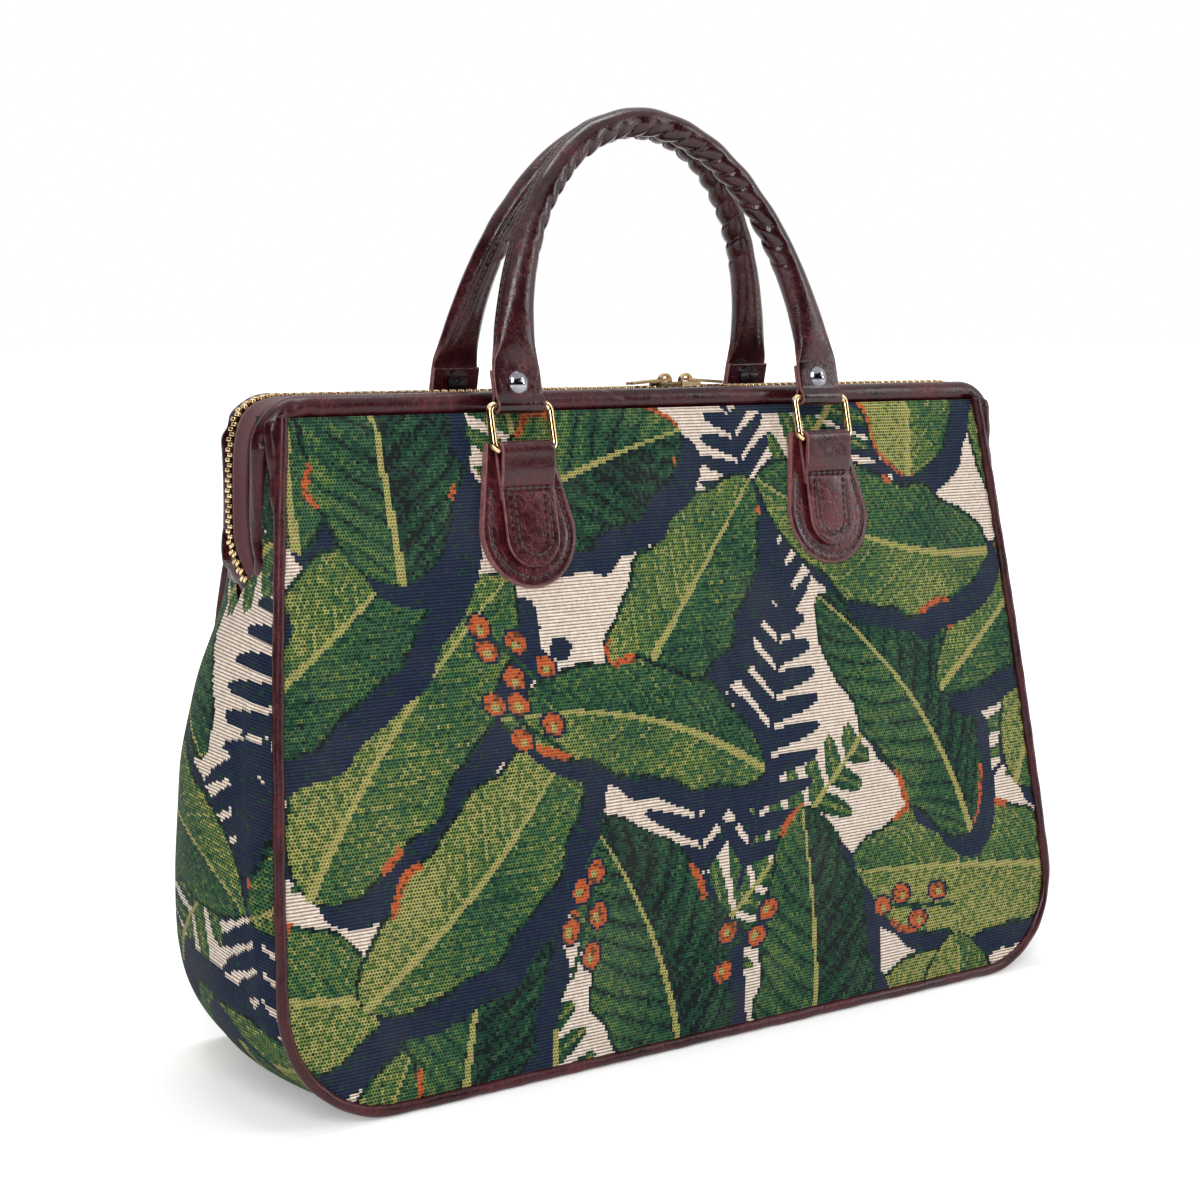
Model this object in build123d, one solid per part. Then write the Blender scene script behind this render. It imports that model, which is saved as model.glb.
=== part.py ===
from build123d import *
from math import asin, atan, cos, degrees, pi, sin
import os

# A carpet bag: two leaning tapestry panels, a gusset round the ends and the bottom,
# leather piping, a wire-framed zip mouth and two rolled handles on four rings.
# X runs along the bag, the front faces -Y, Z is up and the floor is zero.

# Driving sizes of the bag, in millimetres
bag_length = 460.0  # between the piping centres near the floor
bag_depth = 142.0  # between the panels' outer faces at the floor
mouth_height = 302.0  # floor to the centre of the top bindings
mouth_depth = 40.0  # between the centres of the two bindings
mouth_length = 426.0  # between the binding centres at the two ends
mouth_shift = 4.0  # the soft mouth sits this far to the right of the panels
mouth_drop = 84.0  # how far the mouth runs down each end
back_shift = 8.0  # the soft bag stands skewed: the back handle sits this far to the right
top_inset = 18.0  # the panels' top edge is this much shorter than the mouth
side_bow = 3.0  # how far the panel's sides bow outward
panel_swell = 14.0  # how far the middle of a panel stands out from its edges
panel_corner = 50.0  # bottom corner radius of the panels
end_swell = 10.0  # how far each end swells past the panels' foot
end_corner = 75.0  # bottom corner radius half way between the panels

# Cloth and leather thicknesses
cloth = 2.0
lining_cloth = 1.0
leather = 2.0
piping_width = 5.2
binding_width = 11.0
binding_corner = 18.0
wire_width = 4.0
wire_stop = 24.0  # how far above the mouth's tip the frame wire ends
tip_spread = 18.0  # height over which the two bindings close to the tip
tip_bend = 8.0
top_hem = 3.0  # panel edge below the binding's centre line

# Zip
tape_thickness = 0.8
tooth_length = 1.3
tooth_pitch = 5.0
tooth_width = 2.3
tooth_height = 2.8
chain_slot = 1.2  # open slot between the two rows, where the slider's post runs
zip_rise = 4.5  # the tape rides this far outside the binding's centre
zip_stop = 17.0  # tape end above the mouth's tip
patch_thickness = 2.4

# Sliders and pulls
slider_meet = 26.0  # where along the bag the two sliders meet
slider_gap = 0.8
slider_length = 12.0
slider_head = 10.4
slider_tail = 9.4
slider_plate = 1.2
post_width = 0.6
post_length = 2.4
crown_length = 7.6
crown_height = 4.2
crown_width = 2.6
crown_wire = 1.2
pull_bar = 1.4
pull_length = 23.0
pull_width = 7.6
pull_thickness = 1.3
pull_eye = 7.0

# Rings, tabs, handles and snaps
ring_length = 36.0
ring_height = 24.0
ring_wire = 3.6
ring_corner = 5.0
ring_drop = 11.7  # ring's middle below the top bindings' centre
ring_spacing = 178.0  # between the two rings of a handle
tab_width = 50.0
tab_top_width = 34.0
tab_drop = 83.0  # tab's lower end below the top bindings' centre
tab_sink = 1.5  # the base beds this far into the swollen panel
tab_swell_low = 8.3  # how far the panel has swelled under the tab's lower end
tab_swell_high = 2.0  # and under its upper end
tab_strap_width = 28.0
strap_inset = 9.0  # strap's end above the base's end
strap_tail = 22.0  # hidden back layer, below the ring's bar
strap_seam = 15.0  # where the two layers meet below the ring's bar
handle_width = 13.0
handle_strap_width = 25.0
handle_rise = 134.0  # ring's top bar to the arch's centre line at its top
handle_meet = 0.9  # each leaning handle stops this far short of the bag's middle
core_width = 6.4
pucker_depth = 1.7
pucker_number = 20
fold_rise = 4.0  # strap layers meet this far above the ring's bar
snap_rise = 10.0
tail_rise = 16.0
roll_rise = 18.0  # where the flat strap starts to roll up
snap_width = 10.6
snap_dome = 2.2
snap_post = 4.0
socket_width = 11.0
socket_thickness = 1.8
socket_bore = 2.2

# Clearances
turn_gap = 0.4  # a ring's bar in its leather loop
slide_gap = 0.4  # a slider on the teeth and the tape
floor_gap = 0.4  # piping above the floor

# Shares
swell_up_shares = (0.0, 0.06, 0.14, 0.24, 0.36, 0.49, 0.60, 0.70, 0.79, 0.87, 0.94, 1.0)  # panel's height
swell_out_shares = (0.03, 0.24, 0.50, 0.74, 0.93, 1.0, 0.93, 0.78, 0.56, 0.32, 0.12, 0.03)  # its swell
end_up_shares = (0.745, 0.625, 0.50, 0.35)  # of the mouth's height, down the end's profile
end_out_shares = (0.03, 0.46, 0.87, 1.0)  # of the way from the mouth's end to the fullest
tab_wide_share = 0.42  # of the tab's height, where its sides stop widening
rolled_shares = (0.0, 0.05, 0.10, 0.16)  # of the arch, from strap to full roll
roll_width_shares = (1.0, 0.86, 0.68, 0.54)  # of the strap's width, on the way
roll_depth_shares = (0.20, 0.62, 0.92, 1.0)  # of the rolled handle's width
pucker_start_share = 0.19
pucker_phase_shares = (0.0, 0.28, 0.72)
pucker_form_shares = (0.0, 0.85, 0.85)
section_corners = 10
core_corners = 8
core_stations = 24

# Sizes that follow
half_depth = bag_depth / 2
half_length = bag_length / 2
panel_top_length = mouth_length - top_inset
half_top = panel_top_length / 2
ring_middle = mouth_height - ring_drop
tab_bottom = mouth_height - tab_drop
half_mouth = mouth_length / 2
binding_y = mouth_depth / 2
piping_r = piping_width / 2
binding_r = binding_width / 2
wire_r = wire_width / 2
tip_z = mouth_height - mouth_drop
panel_top_y = binding_y + binding_r + cloth
lean = atan((half_depth - panel_top_y) / mouth_height)
piping_z = piping_r + floor_gap
far = 2 * bag_length  # larger than the bag, for half spaces

os.makedirs("parts", exist_ok=True)


def save(shape, name):
    export_step(shape, "parts/" + name + ".step")


def pair(name, front):
    # the back is the front turned over about the bag's middle
    save(front, "front_" + name)
    save(mirror(front, about=Plane.XZ), "back_" + name)


def block(x0, x1, y0, y1, z0, z1):
    # a plain block between two corners
    middle = ((x0 + x1) / 2, (y0 + y1) / 2, (z0 + z1) / 2)
    return Pos(*middle) * Box(x1 - x0, y1 - y0, z1 - z0)


def tube(path, radius):
    start = Plane(origin=path @ 0, z_dir=path % 0)
    return sweep(start * Circle(radius), path=path)


# The front panel's own plane: x along the bag, y up the panel, z outward
outward = Vector(0, -cos(lean), sin(lean))
upward = Vector(0, sin(lean), cos(lean))


def panel_plane(out):
    # the panel's plane, moved outward from its outer face
    return Plane(origin=Vector(0, -half_depth, 0) + outward * out, x_dir=(1, 0, 0), z_dir=outward)


def up_panel(z):
    # length up the panel at a height above the floor
    return z / cos(lean)


def bag_outline(bottom, top, shrink):
    # closed outline: bowed sides, rounded bottom corners
    low, high = half_length - shrink, half_top - shrink
    height = (bottom + top) / 2
    middle = (low + high) / 2 + side_bow
    left = ThreePointArc((-high, top), (-middle, height), (-low, bottom))
    base = Line((-low, bottom), (low, bottom))
    right = ThreePointArc((low, bottom), (middle, height), (high, top))
    lid = Line((high, top), (-high, top))
    face = make_face([left, base, right, lid])
    corners = face.vertices().sort_by(Axis.Y)[:2]
    return fillet(corners, panel_corner - shrink)


# Mouth bindings: a padded leather tube round a spring wire, open towards the zip
def mouth_path():
    over = tip_spread / 2
    reach = over * binding_y / tip_spread
    x, y, z = half_mouth, binding_y, mouth_height
    low = [(x, reach, tip_z - over), (x, -y, tip_z + tip_spread), (x, -y, z)]
    points = [(-a, b, c) for a, b, c in low] + low[::-1]
    return FilletPolyline(*points, radius=[tip_bend, binding_corner, binding_corner, tip_bend])


def wire_path():
    x, y, z = half_mouth, binding_y, mouth_height
    points = [(-x, -y, tip_z + wire_stop), (-x, -y, z), (x, -y, z), (x, -y, tip_z + wire_stop)]
    return FilletPolyline(*points, radius=binding_corner)


front_half = block(-far, far, -far, 0, -far, far)
shift_mouth = Pos(mouth_shift, 0, 0)
binding_full = shift_mouth * (tube(mouth_path(), binding_r) & front_half)
frame_wire = shift_mouth * tube(wire_path(), wire_r)
pair("binding", binding_full - frame_wire)
pair("frame_wire", frame_wire)
bindings = [binding_full, mirror(binding_full, about=Plane.XZ)]

# Piping round the two sides and the bottom of the panels
panel_top = up_panel(mouth_height - top_hem)
panel_bottom = up_panel(piping_z)
edge_face = panel_plane(0) * bag_outline(panel_bottom, panel_top, 0)
lid_edge = edge_face.edges().sort_by(Axis.Z)[-1]
seam_edges = [edge for edge in edge_face.edges() if edge.center().Z < lid_edge.center().Z]
seam_edges = [edge for edge in seam_edges if edge.length > 0]
seam_path = Wire(seam_edges)
piping_full = tube(seam_path, piping_r)
piping = piping_full - binding_full
pair("piping", piping)

# Panels: cloth that stands out in the middle and lies flat along its seams
def panel_strip(up, out):
    # one level cut through the panel, from seam to seam
    v = panel_bottom + (panel_top - panel_bottom) * up
    half = half_length + (half_top - half_length) * up + 4 * side_bow * up * (1 - up)
    rise = panel_swell * out
    front_line = ThreePointArc((-half, 0), (0, -rise), (half, 0))
    back_line = ThreePointArc((half, cloth), (0, cloth - rise), (-half, cloth))
    ends = [Line((half, 0), (half, cloth)), Line((-half, cloth), (-half, 0))]
    level = Plane(origin=Vector(0, -half_depth, 0) + upward * v, x_dir=(1, 0, 0), z_dir=upward)
    return level * make_face([front_line, ends[0], back_line, ends[1]])


strips = [panel_strip(up, out) for up, out in zip(swell_up_shares, swell_out_shares)]
panel = loft(strips, ruled=True) & extrude(edge_face, amount=half_depth, both=True)
panel = panel - piping_full - binding_full
pair("panel", panel)


# Leather patches that close the zip's lower ends
zip_x = half_mouth + zip_rise
zip_bottom = tip_z + zip_stop
patches = []
patch_line = Polyline((-binding_y, zip_bottom), (binding_y, zip_bottom), (0, tip_z), close=True)
for side, word in ((-1, "left"), (1, "right")):
    patch_x = mouth_shift + side * zip_x - patch_thickness / 2
    patch = extrude(Pos(patch_x, 0, 0) * (Plane.YZ * make_face(patch_line)), amount=patch_thickness)
    for hollow in bindings:
        patch = patch - hollow
    save(patch, word + "_zip_end")
    patches.append(patch)

# Gusset and lining: swollen bands between the panels, split above the mouth's tip
def end_outline(bottom, top, inset):
    # outline half way between the panels: ends that swell low down and close to the mouth
    full = half_length + end_swell - inset
    corner = end_corner - inset
    sides = []
    for side in (-1, 1):
        high = half_mouth + cloth + side * mouth_shift - inset
        points = [(side * high, top)]
        for up, out in zip(end_up_shares, end_out_shares):
            points.append((side * (high + (full - high) * out), mouth_height * up))
        points.append((side * full, bottom + corner))
        sides.append(Spline(*points, tangents=((0, -1), (0, -1))))
    arcs = []
    for side in (-1, 1):
        x, dip = full - corner, corner * cos(pi / 4)
        low, high = (side * x, bottom), (side * full, bottom + corner)
        arcs.append(ThreePointArc(high, (side * (x + dip), bottom + corner - dip), low))
    base = Line(arcs[0] @ 1, arcs[1] @ 1)
    lid = Line(sides[0] @ 0, sides[1] @ 0)
    return make_face([sides[0], arcs[0], base, arcs[1], sides[1], lid])


def swollen_body(bottom, inset, depth_inset, top):
    front = panel_plane(-depth_inset) * bag_outline(up_panel(bottom), up_panel(top), inset)
    middle = Plane.XZ * end_outline(bottom, top, inset)
    back = mirror(front, about=Plane.XZ)
    return loft([front.face(), middle.face(), back.face()])


def mouth_slot(widen):
    # the wedge the mouth cuts out of the two ends
    y = binding_y + widen
    low, high = tip_z - widen, tip_z + tip_spread
    shape = Polyline((-y, far), (-y, high), (0, low), (y, high), (y, far), close=True)
    return extrude(Plane.YZ * make_face(shape), amount=far, both=True)


wall_top = mouth_height - top_hem
floor_up = block(-far, far, -far, far, 0, far)
outer_body = swollen_body(-cloth, 0, cloth, wall_top) & floor_up
cavity = swollen_body(cloth, cloth, cloth, mouth_height + cloth)
gusset = outer_body - cavity - mouth_slot(-binding_r / 2)
edging = bindings + [piping_full, mirror(piping_full, about=Plane.XZ)] + patches
for hollow in edging:
    gusset = gusset - hollow
save(gusset, "gusset")

lining_inset = cloth + lining_cloth
lining_room = swollen_body(lining_inset, lining_inset, lining_inset, mouth_height + cloth)
lining_top = mouth_height - binding_width
lining = cavity - lining_room - block(-far, far, -far, far, lining_top, far)
lining = lining - mouth_slot(binding_r)
for hollow in edging:
    lining = lining - hollow
save(lining, "lining")


# Zip: two tapes, two rows of teeth and a leather patch at each lower end
zip_top = mouth_height + zip_rise
zip_corner = binding_corner + zip_rise
tooth_in = chain_slot / 2
tooth_out = tooth_in + tooth_width


def zip_arch(grow):
    # the bag's zip line from the side, as a filled arch
    x, top = zip_x + grow, zip_top + grow
    path = FilletPolyline((-x, zip_bottom), (-x, top), (x, top), (x, zip_bottom), radius=zip_corner + grow)
    return make_face([path, Line((x, zip_bottom), (-x, zip_bottom))])


band = zip_arch(tape_thickness / 2) - zip_arch(-tape_thickness / 2)
tape = extrude(Pos(mouth_shift, -tooth_out, 0) * (Plane.XZ * band), amount=binding_y - tooth_out)
tape = tape - binding_full
pair("zip_tape", tape)

tooth = Box(tooth_length, tooth_width, tooth_height)
straight = zip_x - zip_corner
bend = zip_corner * pi / 2
leg = zip_top - zip_corner - zip_bottom


def zip_place(run):
    # position along the zip line, measured from the middle of the top
    side = 1 if run >= 0 else -1
    run = abs(run)
    if run <= straight:
        x, z, turn = run, zip_top, 0
    elif run <= straight + bend:
        turn = (run - straight) / zip_corner
        x = straight + zip_corner * sin(turn)
        z = zip_top - zip_corner + zip_corner * cos(turn)
    else:
        turn = pi / 2
        x, z = zip_x, zip_top - zip_corner - (run - straight - bend)
    return Pos(mouth_shift + side * x, 0, z) * Rot(0, side * degrees(turn), 0)


zip_reach = straight + bend + leg - tooth_pitch
tooth_number = int(zip_reach // tooth_pitch)
tooth_y = tooth_in + tooth_width / 2
for name, side, shift in (("front", -1, 0), ("back", 1, tooth_pitch / 2)):
    runs = [k * tooth_pitch + shift for k in range(-tooth_number, tooth_number)]
    save(Compound([zip_place(run) * Pos(0, side * tooth_y, 0) * tooth for run in runs]), name + "_teeth")

# Sliders: two plates on a post, an arched crown on top; drawn for the right one
channel = tooth_height / 2 + slide_gap
plate_top = channel + slider_plate
rim_inner = tooth_out + slide_gap
rim_low = tape_thickness / 2 + slide_gap
head, tail = slider_head / 2, slider_tail / 2
plan = Polyline((0, -head), (slider_length, -tail), (slider_length, tail), (0, head), close=True)
plate = extrude(make_face(plan), amount=slider_plate)
upper = Pos(0, 0, channel) * plate
rim_cut = block(-far, far, -rim_inner, rim_inner, -far, far)
rims = Pos(0, 0, rim_low) * extrude(make_face(plan), amount=channel - rim_low) - rim_cut
half_slider = upper + rims
post = block(0, post_length, -post_width / 2, post_width / 2, -channel, channel)
crown_x = slider_length / 2
arch = Plane.XZ * (
    Pos(crown_x, plate_top) * Ellipse(crown_length / 2, crown_height)
    - Pos(crown_x, plate_top) * Ellipse(crown_length / 2 - crown_wire, crown_height - crown_wire)
)
crown = extrude(arch, amount=crown_width / 2, both=True) & block(-far, far, -far, far, plate_top, far)
slider = half_slider + mirror(half_slider, about=Plane.XY) + post + crown
slider_place = Pos(slider_meet + slider_gap / 2, 0, zip_top)
save(slider_place * slider, "right_slider")
other_place = Pos(slider_meet - slider_gap / 2, 0, zip_top)
save(other_place * mirror(slider, about=Plane.YZ), "left_slider")

# Pulls: an eye round the crown and a flat tongue, resting on the teeth
bar_z = plate_top + slide_gap + pull_bar / 2
pull_drop = bar_z - tooth_height / 2 - slide_gap - pull_thickness / 2
pull_tilt = degrees(asin(pull_drop / pull_length))
bar = Rot(90, 0, 0) * Cylinder(pull_bar / 2, pull_width)
tongue = SlotOverall(pull_length + pull_width / 2, pull_width)
eye_room = RectangleRounded(pull_eye, crown_width + 2 * slide_gap, slide_gap)
tongue_x = (pull_length - pull_width / 2) / 2
sheet = Pos(tongue_x, 0) * tongue - Pos(pull_eye / 2 - pull_bar / 2, 0) * eye_room
eye_trim = block(-far, -pull_bar / 2, -far, far, -far, far)
pull = extrude(sheet, amount=pull_thickness / 2, both=True) - eye_trim + bar
pull = Rot(0, pull_tilt, 0) * pull
pull_place = Pos(crown_x, 0, bar_z)
save(slider_place * pull_place * pull, "right_pull")
save(other_place * mirror(pull_place * pull, about=Plane.YZ), "left_pull")

# The plane under the tabs, which leans more than the seams because the panel has swelled
tab_run = up_panel(tab_drop - ring_drop)
tab_lean = atan((tab_swell_low - tab_swell_high) / tab_run)
tab_outward = outward * cos(tab_lean) + upward * sin(tab_lean)
tab_upward = upward * cos(tab_lean) - outward * sin(tab_lean)
tab_foot = Vector(0, -half_depth, 0) + upward * up_panel(tab_bottom) + outward * tab_swell_low
tab_origin = tab_foot - tab_upward * up_panel(tab_bottom)


def tab_plane(out):
    return Plane(origin=tab_origin + tab_outward * out, x_dir=(1, 0, 0), z_dir=tab_outward)


def put(word, name, shape):
    # the back's pieces are drawn at the front and turned over
    save(mirror(shape, about=Plane.XZ) if word == "back" else shape, word + "_" + name)


faces_of_bag = (("front", 0), ("back", back_shift))

# Rings: round wire bent to a rounded rectangle, leaning with the tabs
wire_r_ring = ring_wire / 2
loop_in = wire_r_ring + turn_gap
loop_out = loop_in + leather
bar_out = leather + leather + loop_in  # ring's bar outward from the panel
bar_step = ring_height - ring_wire
low_bar = up_panel(ring_middle) - bar_step / 2
ring_x = ring_spacing / 2


def ring_path():
    x, y = (ring_length - ring_wire) / 2, bar_step / 2
    points = [(x, y), (x, -y), (-x, -y), (-x, y)]
    return FilletPolyline(*points, radius=ring_corner - wire_r_ring, close=True)


ring_plane = tab_plane(bar_out)
ring_wire_path = ring_plane * Pos(0, low_bar + bar_step / 2) * ring_path()
ring = tube(Wire(ring_wire_path.edges()), wire_r_ring)

# Tabs: a tongue-shaped base on the panel, and a strap folded round the ring's bar
tab_low = up_panel(tab_bottom)
tab_high = low_bar + loop_out
side_v = tab_low + (tab_high - tab_low) * tab_wide_share
wide, narrow = tab_width / 2, tab_top_width / 2
tab_edges = [
    Line((-narrow, tab_high), (-wide, side_v)),
    ThreePointArc((-wide, side_v), (0, tab_low), (wide, side_v)),
    Line((wide, side_v), (narrow, tab_high)),
    Line((narrow, tab_high), (-narrow, tab_high)),
]
tab_base = extrude(tab_plane(-tab_sink) * make_face(tab_edges), amount=leather + tab_sink)

# the strap seen from the side: local x up the panel, local y outward
side_plane = Plane(origin=tab_origin, x_dir=tab_upward, z_dir=(1, 0, 0))
front_in = bar_out + loop_in
front_out = front_in + leather
flat_in, flat_out = 2 * leather, 3 * leather
strap_low = tab_low + strap_inset
seam_v = low_bar - strap_seam
loop = Pos(low_bar, bar_out) * (Circle(loop_out) - Circle(loop_in))
loop = loop - Pos(low_bar - loop_out, bar_out) * Rectangle(2 * loop_out, 2 * loop_out)
back_leg = make_face(
    Polyline(
        (low_bar, leather), (low_bar, flat_in), (low_bar - strap_tail, flat_in),
        (low_bar - strap_tail, leather), close=True,
    )
)
front_leg = make_face(
    Polyline(
        (low_bar, front_in), (low_bar, front_out), (seam_v, flat_out), (strap_low, flat_out),
        (strap_low, flat_in), (seam_v, flat_in), close=True,
    )
)
filler = make_face(
    Polyline(
        (low_bar - strap_tail, leather), (low_bar - strap_tail, flat_in),
        (strap_low, flat_in), (strap_low, leather), close=True,
    )
)
strap_round = tab_strap_width / 2
strap_side = extrude(side_plane * (loop + back_leg + front_leg + filler), amount=strap_round, both=True)
strap_edges = [
    Line((-strap_round, tab_high + leather), (-strap_round, strap_low + strap_round)),
    ThreePointArc(
        (-strap_round, strap_low + strap_round), (0, strap_low), (strap_round, strap_low + strap_round)
    ),
    Line((strap_round, strap_low + strap_round), (strap_round, tab_high + leather)),
    Line((strap_round, tab_high + leather), (-strap_round, tab_high + leather)),
]
strap_front = extrude(tab_plane(0) * make_face(strap_edges), amount=ring_height)
tab_strap = strap_side & strap_front

for word, skew in faces_of_bag:
    for side, hand in ((-1, "left"), (1, "right")):
        shift = Pos(skew + side * ring_x, 0, 0)
        put(word, hand + "_ring", shift * ring)
        bedded = shift * tab_base - panel  # what reaches through the cloth is left off
        put(word, hand + "_tab_base", max(bedded.solids(), key=lambda solid: solid.volume))
        put(word, hand + "_tab_strap", shift * tab_strap)

# Handles: flat straps folded round the rings' top bars, rolled round a core above;
# drawn upright, then leaned in until the two handles almost meet
bar_point = ring_plane.from_local_coords((0, low_bar + bar_step, 0))
bar_y, bar_height = bar_point.Y, bar_point.Z
start_turn = asin(roll_rise / handle_rise)
foot = ring_x / cos(start_turn)
strap_y = bar_y - leather / 2


def handle_place(turn):
    # centre, inward direction and run of the arch, an upright half ellipse
    centre = Vector(-foot * cos(turn), strap_y, bar_height + handle_rise * sin(turn))
    run = Vector(foot * sin(turn), 0, handle_rise * cos(turn)).normalized()
    return centre, Vector(run.Z, 0, -run.X)


def handle_ring(turn, wide_r, deep_r, corners, pucker):
    # one closed cross-section; only the inner side is gathered
    centre, inner = handle_place(turn)
    points = []
    for k in range(corners):
        angle = 2 * pi * (k + 0.5) / corners
        across = cos(angle)
        reach = wide_r - (pucker * across if across > 0 else 0)
        points.append(centre + inner * (reach * across) + Vector(0, deep_r * sin(angle), 0))
    return Wire.make_polygon(points, close=True)


arch_turn = pi - 2 * start_turn
stations = []
for share, wide_share, deep_share in zip(rolled_shares, roll_width_shares, roll_depth_shares):
    wide_r = handle_strap_width * wide_share / 2
    stations.append((share, wide_r, handle_width * deep_share / 2, 0))
pucker_step = (1 - 2 * pucker_start_share) / pucker_number
full = handle_width / 2
for k in range(pucker_number):
    for phase, form in zip(pucker_phase_shares, pucker_form_shares):
        share = pucker_start_share + (k + phase) * pucker_step
        stations.append((share, full, full, pucker_depth * (1 - form)))
stations.append((1 - pucker_start_share, full, full, pucker_depth))
for share, wide_share, deep_share in list(zip(rolled_shares, roll_width_shares, roll_depth_shares))[::-1]:
    wide_r = handle_strap_width * wide_share / 2
    stations.append((1 - share, wide_r, handle_width * deep_share / 2, 0))
rings = [
    handle_ring(start_turn + share * arch_turn, wide_r, deep_r, section_corners, pucker)
    for share, wide_r, deep_r, pucker in stations
]
roll = Solid.make_loft(rings, ruled=True)

core_from, core_to = rolled_shares[-1], 1 - rolled_shares[-1]
core_rings = []
for k in range(core_stations + 1):
    share = core_from + (core_to - core_from) * k / core_stations
    turn = start_turn + share * arch_turn
    core_rings.append(handle_ring(turn, core_width / 2, core_width / 2, core_corners, 0))
core = Solid.make_loft(core_rings, ruled=True)

# the strap seen from the side: local x outward from the bar, local y up
fold_plane = Plane(origin=(0, bar_y, bar_height), x_dir=(0, -1, 0), z_dir=(-1, 0, 0))
fold = Circle(loop_out) - Circle(loop_in)
fold = fold - Pos(0, loop_out) * Rectangle(2 * loop_out, 2 * loop_out)
roll_top = roll_rise + leather
outer_leg = make_face(
    Polyline(
        (loop_in, 0), (loop_out, 0), (leather, fold_rise), (leather, roll_top),
        (0, roll_top), (0, fold_rise), close=True,
    )
)
inner_leg = make_face(
    Polyline(
        (-loop_in, 0), (-loop_out, 0), (-leather, fold_rise), (-leather, tail_rise),
        (0, tail_rise), (0, fold_rise), close=True,
    )
)
fold_side = fold_plane * (fold + outer_leg + inner_leg)
strap = extrude(fold_side, amount=handle_strap_width / 2, both=True)

# snaps: a domed cap with a post outside, a ringed socket inside
snap_plane = Plane(origin=(0, bar_y, bar_height + snap_rise), x_dir=(1, 0, 0), z_dir=(0, -1, 0))
cap_r = snap_width / 2
dome_r = (cap_r * cap_r + snap_dome * snap_dome) / (2 * snap_dome)
dome = Pos(0, 0, leather + snap_dome - dome_r) * Sphere(dome_r)
dome = dome & (Pos(0, 0, leather + snap_dome) * Cylinder(far, 2 * snap_dome))
post_reach = 2 * leather + socket_thickness
pin = Pos(0, 0, leather - post_reach / 2) * Cylinder(snap_post / 2, post_reach)
pin = pin - Pos(0, 0, leather - post_reach) * Cylinder(socket_bore / 2, 2 * socket_thickness)
cap = snap_plane * (dome + pin)
socket = Cylinder(socket_width / 2, socket_thickness) - Cylinder(snap_post / 2, socket_thickness)
socket = snap_plane * Pos(0, 0, -leather - socket_thickness / 2) * socket

feet = [Pos(side * ring_x, 0, 0) for side in (-1, 1)]
holes = [place * (snap_plane * Cylinder(snap_post / 2, 4 * leather)) for place in feet]
handle = roll - core
for place in feet:
    handle = handle + place * strap
for cut in holes:
    handle = handle - cut
lean_in = degrees(asin((-strap_y - handle_width / 2 - handle_meet) / handle_rise))
lean_over = Pos(0, bar_y, bar_height) * Rot(-lean_in, 0, 0) * Pos(0, -bar_y, -bar_height)
caps = Compound([place * cap for place in feet])
sockets = Compound([place * socket for place in feet])
for word, skew in faces_of_bag:
    shift = Pos(skew, 0, 0) * lean_over
    put(word, "handle", shift * handle)
    put(word, "handle_core", shift * core)
    put(word, "snap_caps", shift * caps)
    put(word, "snap_sockets", shift * sockets)
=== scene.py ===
import math
import bpy
import bmesh
import numpy as np
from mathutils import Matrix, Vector


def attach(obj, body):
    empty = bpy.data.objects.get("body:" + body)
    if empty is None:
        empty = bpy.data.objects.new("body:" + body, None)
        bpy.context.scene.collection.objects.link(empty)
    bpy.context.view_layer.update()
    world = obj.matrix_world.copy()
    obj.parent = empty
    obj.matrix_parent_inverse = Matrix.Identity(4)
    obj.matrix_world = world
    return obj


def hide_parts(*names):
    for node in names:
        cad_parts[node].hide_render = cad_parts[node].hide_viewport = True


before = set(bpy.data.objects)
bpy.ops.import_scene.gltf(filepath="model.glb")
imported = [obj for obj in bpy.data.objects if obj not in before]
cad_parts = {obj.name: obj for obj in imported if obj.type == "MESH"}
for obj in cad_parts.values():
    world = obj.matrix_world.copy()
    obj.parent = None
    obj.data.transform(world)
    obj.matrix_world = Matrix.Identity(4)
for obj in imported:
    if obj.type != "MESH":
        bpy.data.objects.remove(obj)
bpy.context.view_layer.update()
print("frame loaded:", len(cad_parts), "nodes")

scene = bpy.context.scene
scene.view_settings.view_transform = "Standard"
mm = 0.001

# sizes shared with the solid bag, in millimetres
bag = dict(
    length=460.0, depth=142.0, topLength=408.0, corner=50.0, bow=3.0,
    mouthHeight=302.0, mouthDepth=40.0, mouthLength=426.0, mouthShift=4.0, tip=218.0,
    mouthCorner=18.0, swell=14.0, endSwell=10.0, endCorner=75.0, skew=8.0, piping=2.6, binding=5.5, hem=3.0,
    panelFoot=3.0, panelGap=2.0,
)
# the left end, where the back and the mouth's tip leave the solid bag's shape
leftEnd = dict(begins=-110.0, over=95.0, backHang=14.0, lowMore=0.4, lowOver=90.0,
               tipLean=12.0, tipFrom=246.0, tipOver=34.0, tipPower=1.3)
mouthHalf = bag["mouthLength"] / 2
mouthHem = bag["mouthHeight"] - bag["hem"]
topFront = bag["mouthDepth"] / 2 + bag["binding"] + bag["panelGap"]
lean = math.atan((bag["depth"] / 2 - topFront) / bag["mouthHeight"])
leanSin, leanCos = math.sin(lean), math.cos(lean)
panelLow = bag["panelFoot"] / leanCos
panelHigh = mouthHem / leanCos
ringX = 89.0
lowBar = 283.10  # ring's lower bar, up the tab
barOut = 6.2  # ring's bars, out from the panel under the tab
tabFoot = (219.0 / leanCos, 8.3)  # tab's lower end: up the panel, and how far the panel has swelled there
tabHead = (71.3 / leanCos, 2.0)  # its upper end: how much further up, and the swell there
tabLean = math.atan((tabFoot[1] - tabHead[1]) / tabHead[0])
faceNames = {1: "front", -1: "back"}
sideNames = {-1: "left", 1: "right"}


# small tools

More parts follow.
